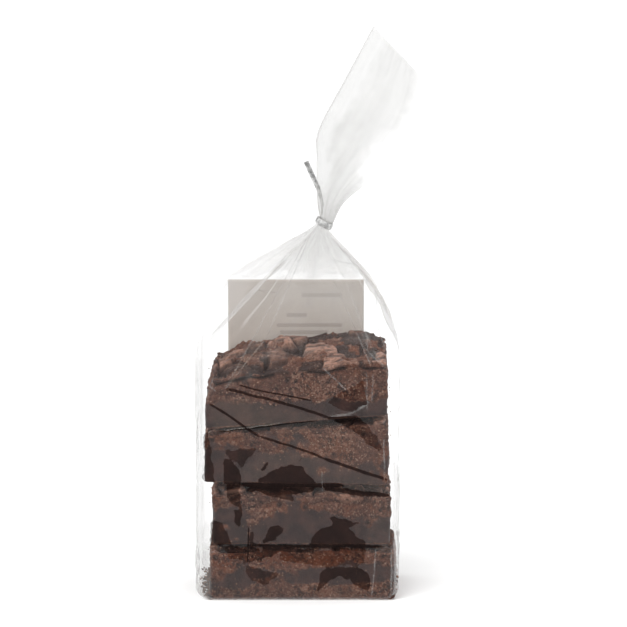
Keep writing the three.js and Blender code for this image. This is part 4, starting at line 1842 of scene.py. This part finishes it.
@dataclass
class Studio:
    """A pale floor, soft light and the photograph's camera."""

    elevation: float = 9.0
    distance: float = 1.8
    aim: tuple[float, float, float] = (0.0078, 0.0, 0.1376)
    lens: float = 209.7

    def build(self) -> None:
        """Makes the camera, the surround, the lamps and the floor."""
        self.camera()
        self.surround()
        self.lamps()
        self.floor()

    def camera(self) -> None:
        """Places the camera in front of the bag and a little above it."""
        data = bpy.data.cameras.new("camera")
        data.sensor_width = 36.0
        data.lens = self.lens
        data.clip_start = 0.05
        camera = bpy.data.objects.new("camera", data)
        bpy.context.scene.collection.objects.link(camera)
        tilt = math.radians(self.elevation)
        back = Vector((0, -math.cos(tilt), math.sin(tilt)))
        camera.location = Vector(self.aim) + back * self.distance
        camera.rotation_euler = (math.radians(90 - self.elevation), 0, 0)
        bpy.context.scene.camera = camera

    def surround(self) -> None:
        """Makes a white surround, dimmer low on the camera's side, which the film's front mirrors."""
        world = bpy.data.worlds.new("studio")
        bpy.context.scene.world = world
        world.use_nodes = True
        world.node_tree.nodes.clear()
        tree = NodeTree(world.node_tree)
        way = tree.add("SeparateXYZ", {0: tree.add("TexCoord").outputs["Generated"]}).outputs
        front = tree.band(way["Y"], -0.6, -0.92)
        low = tree.band(way["Z"], 0.3, 0.02)
        light = tree.math("MULTIPLY_ADD", tree.math("MULTIPLY", front, low), -0.66, 1.0)
        seen = tree.add("LightPath").outputs["Is Camera Ray"]
        strength = tree.math("MAXIMUM", light, seen)
        back = tree.add("Background", {"Color": colour(1, 1, 1), "Strength": strength})
        output = tree.add("OutputWorld")
        tree.join(back.outputs[0], output.inputs["Surface"])

    def lamps(self) -> None:
        """Adds a soft sun and three softboxes, above the bag and at its sides."""
        sun = bpy.data.lights.new("soft_sun", "SUN")
        sun.energy = 1.1
        sun.angle = math.radians(35)
        self.place_lamp(sun, (-0.5, -0.75, 1.5))
        boxes = (
            ("left_box", (-0.9, -0.75, 0.5), (0.45, 1.1), 1.6),
            ("right_box", (0.95, -0.55, 0.45), (0.4, 0.9), 1.6),
            ("top_box", (0.1, -0.6, 1.1), (1.5, 0.9), 0.5),
        )
        for name, place, size, radiance in boxes:
            box = bpy.data.lights.new(name, "AREA")
            box.shape = "RECTANGLE"
            box.size, box.size_y = size
            box.energy = radiance * math.pi * size[0] * size[1]
            self.place_lamp(box, place)

    def place_lamp(self, data: bpy.types.Light, place: Sequence[float]) -> None:
        """Links a lamp, aimed at the middle of the stack. The film does not mirror it.

        Args:
            data: the lamp's light.
            place: where it stands, in metres.
        """
        lamp = bpy.data.objects.new(data.name, data)
        bpy.context.scene.collection.objects.link(lamp)
        lamp.visible_glossy = False
        lamp.location = place
        aim = Vector((0, 0, 0.09)) - Vector(place)
        lamp.rotation_euler = aim.to_track_quat("-Z", "Y").to_euler()

    def floor(self) -> None:
        """Lays the pale floor just under the bag. Mirrored and scattered rays pass it to the surround."""
        material, tree, output = new_material("pale_floor")
        place = tree.place()
        tone = tree.blend(tree.noise(place, 8.0), colour(0.93, 0.93, 0.93), colour(0.91, 0.91, 0.905))
        pale = tree.add("BsdfPrincipled", {"Base Color": tone, "Roughness": 0.9, "Specular IOR Level": 0.1})
        seen = tree.add("LightPath").outputs["Is Camera Ray"]
        open_floor = tree.add("BsdfTransparent").outputs[0]
        tree.join(tree.cover(seen, open_floor, pale.outputs[0]), output.inputs["Surface"])
        mesh = bpy.data.meshes.new("floor")
        bm = bmesh.new()
        bmesh.ops.create_grid(bm, x_segments=4, y_segments=4, size=6.0)
        bmesh.ops.translate(bm, vec=(0, 0, -0.0001), verts=bm.verts)
        bm.to_mesh(mesh)
        bm.free()
        mesh.materials.append(material)
        floor = bpy.data.objects.new("floor", mesh)
        bpy.context.scene.collection.objects.link(floor)


def brownie_stack() -> list[BrownieSlab]:
    """Lists the slabs. Each sits a little out of line, as in the photograph.

    Returns:
        The four slabs, from the bottom up.
    """
    return [
        BrownieSlab(
            "brownie_1", -43.0, 48.0, -29.6, 27.5, 0.5, 0.5, 25.6, 25.8, seed=3, lean=-0.1,
            crumbly=((0, 1), (0.2, 0.95), (0.34, 0.3), (0.55, 0.35), (0.68, 0.95), (1, 1)), front_drop=0.8,
            lip_crust=0.2, hot_from=0.6,
        ),
        BrownieSlab(
            "brownie_2", -41.5, 45.5, -29.6, 27.0, 27.8, 27.8, 55.2, 53.0, seed=8, dome=1.6, lean=0.12,
            crumbly=((0, 0.1), (0.5, 0.2), (0.72, 0.9), (1, 1)), front_drop=1.6, lip_crust=0.35,
        ),
        BrownieSlab(
            "brownie_3", -45.2, 44.2, -29.6, 26.5, 58.8, 57.0, 83.2, 89.8, seed=14, dome=1.0, lean=0.3,
            crumbly=((0, 0.05), (0.42, 0.15), (0.58, 0.85), (1, 1)), front_drop=0.2, edge_round=1.5,
            lip_crust=0.1,
        ),
        BrownieSlab(
            "brownie_4", -44.9, 43.6, -29.4, 27.5, 85.0, 91.6, 111.2, 119.6, seed=21, dome=1.8, lean=0.25,
            crumbly=((0, 0.0), (0.3, 0.12), (0.5, 0.9), (1, 1)), front_drop=0.5,
            back_rise=7.5, left_fall=4.0, right_fall=4.0, lip_crust=1.0, lip_deep=2.2, top_in=4.5, lumpy=2.4,
        ),
    ]


def main() -> None:
    """Builds the bag and its contents in order."""
    logging.basicConfig(level=logging.INFO, format="%(name)s %(message)s")
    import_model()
    noise.seed_set(NOISE_SEED)
    scene = bpy.context.scene
    scene.view_settings.view_transform = "Standard"
    scene.cycles.transparent_max_bounces = 64
    Studio().build()
    low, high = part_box("bag")
    form = BagForm(wide=-2 * low.x / MILLIMETRE, deep=2 * high.y / MILLIMETRE)
    grain = crumb_grain_group()
    brownie = BrownieFinish().build(grain)
    for slab in brownie_stack():
        slab.build(brownie)
    LooseCrumbs(form).build(CrumbFinish().build(grain))
    film = FilmFinish()
    front, lining, plain = (film.build(side) for side in (Side.FRONT, Side.LINING, Side.PLAIN))
    PouchFilm(form).build([front, lining, plain])
    FilmFan(form, lay_scale=0.6).build([plain])
    TwistTie(form).build(FoilFinish().build())
    PaperLabel(*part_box("label")).build()


if __name__ == "__main__":
    main()
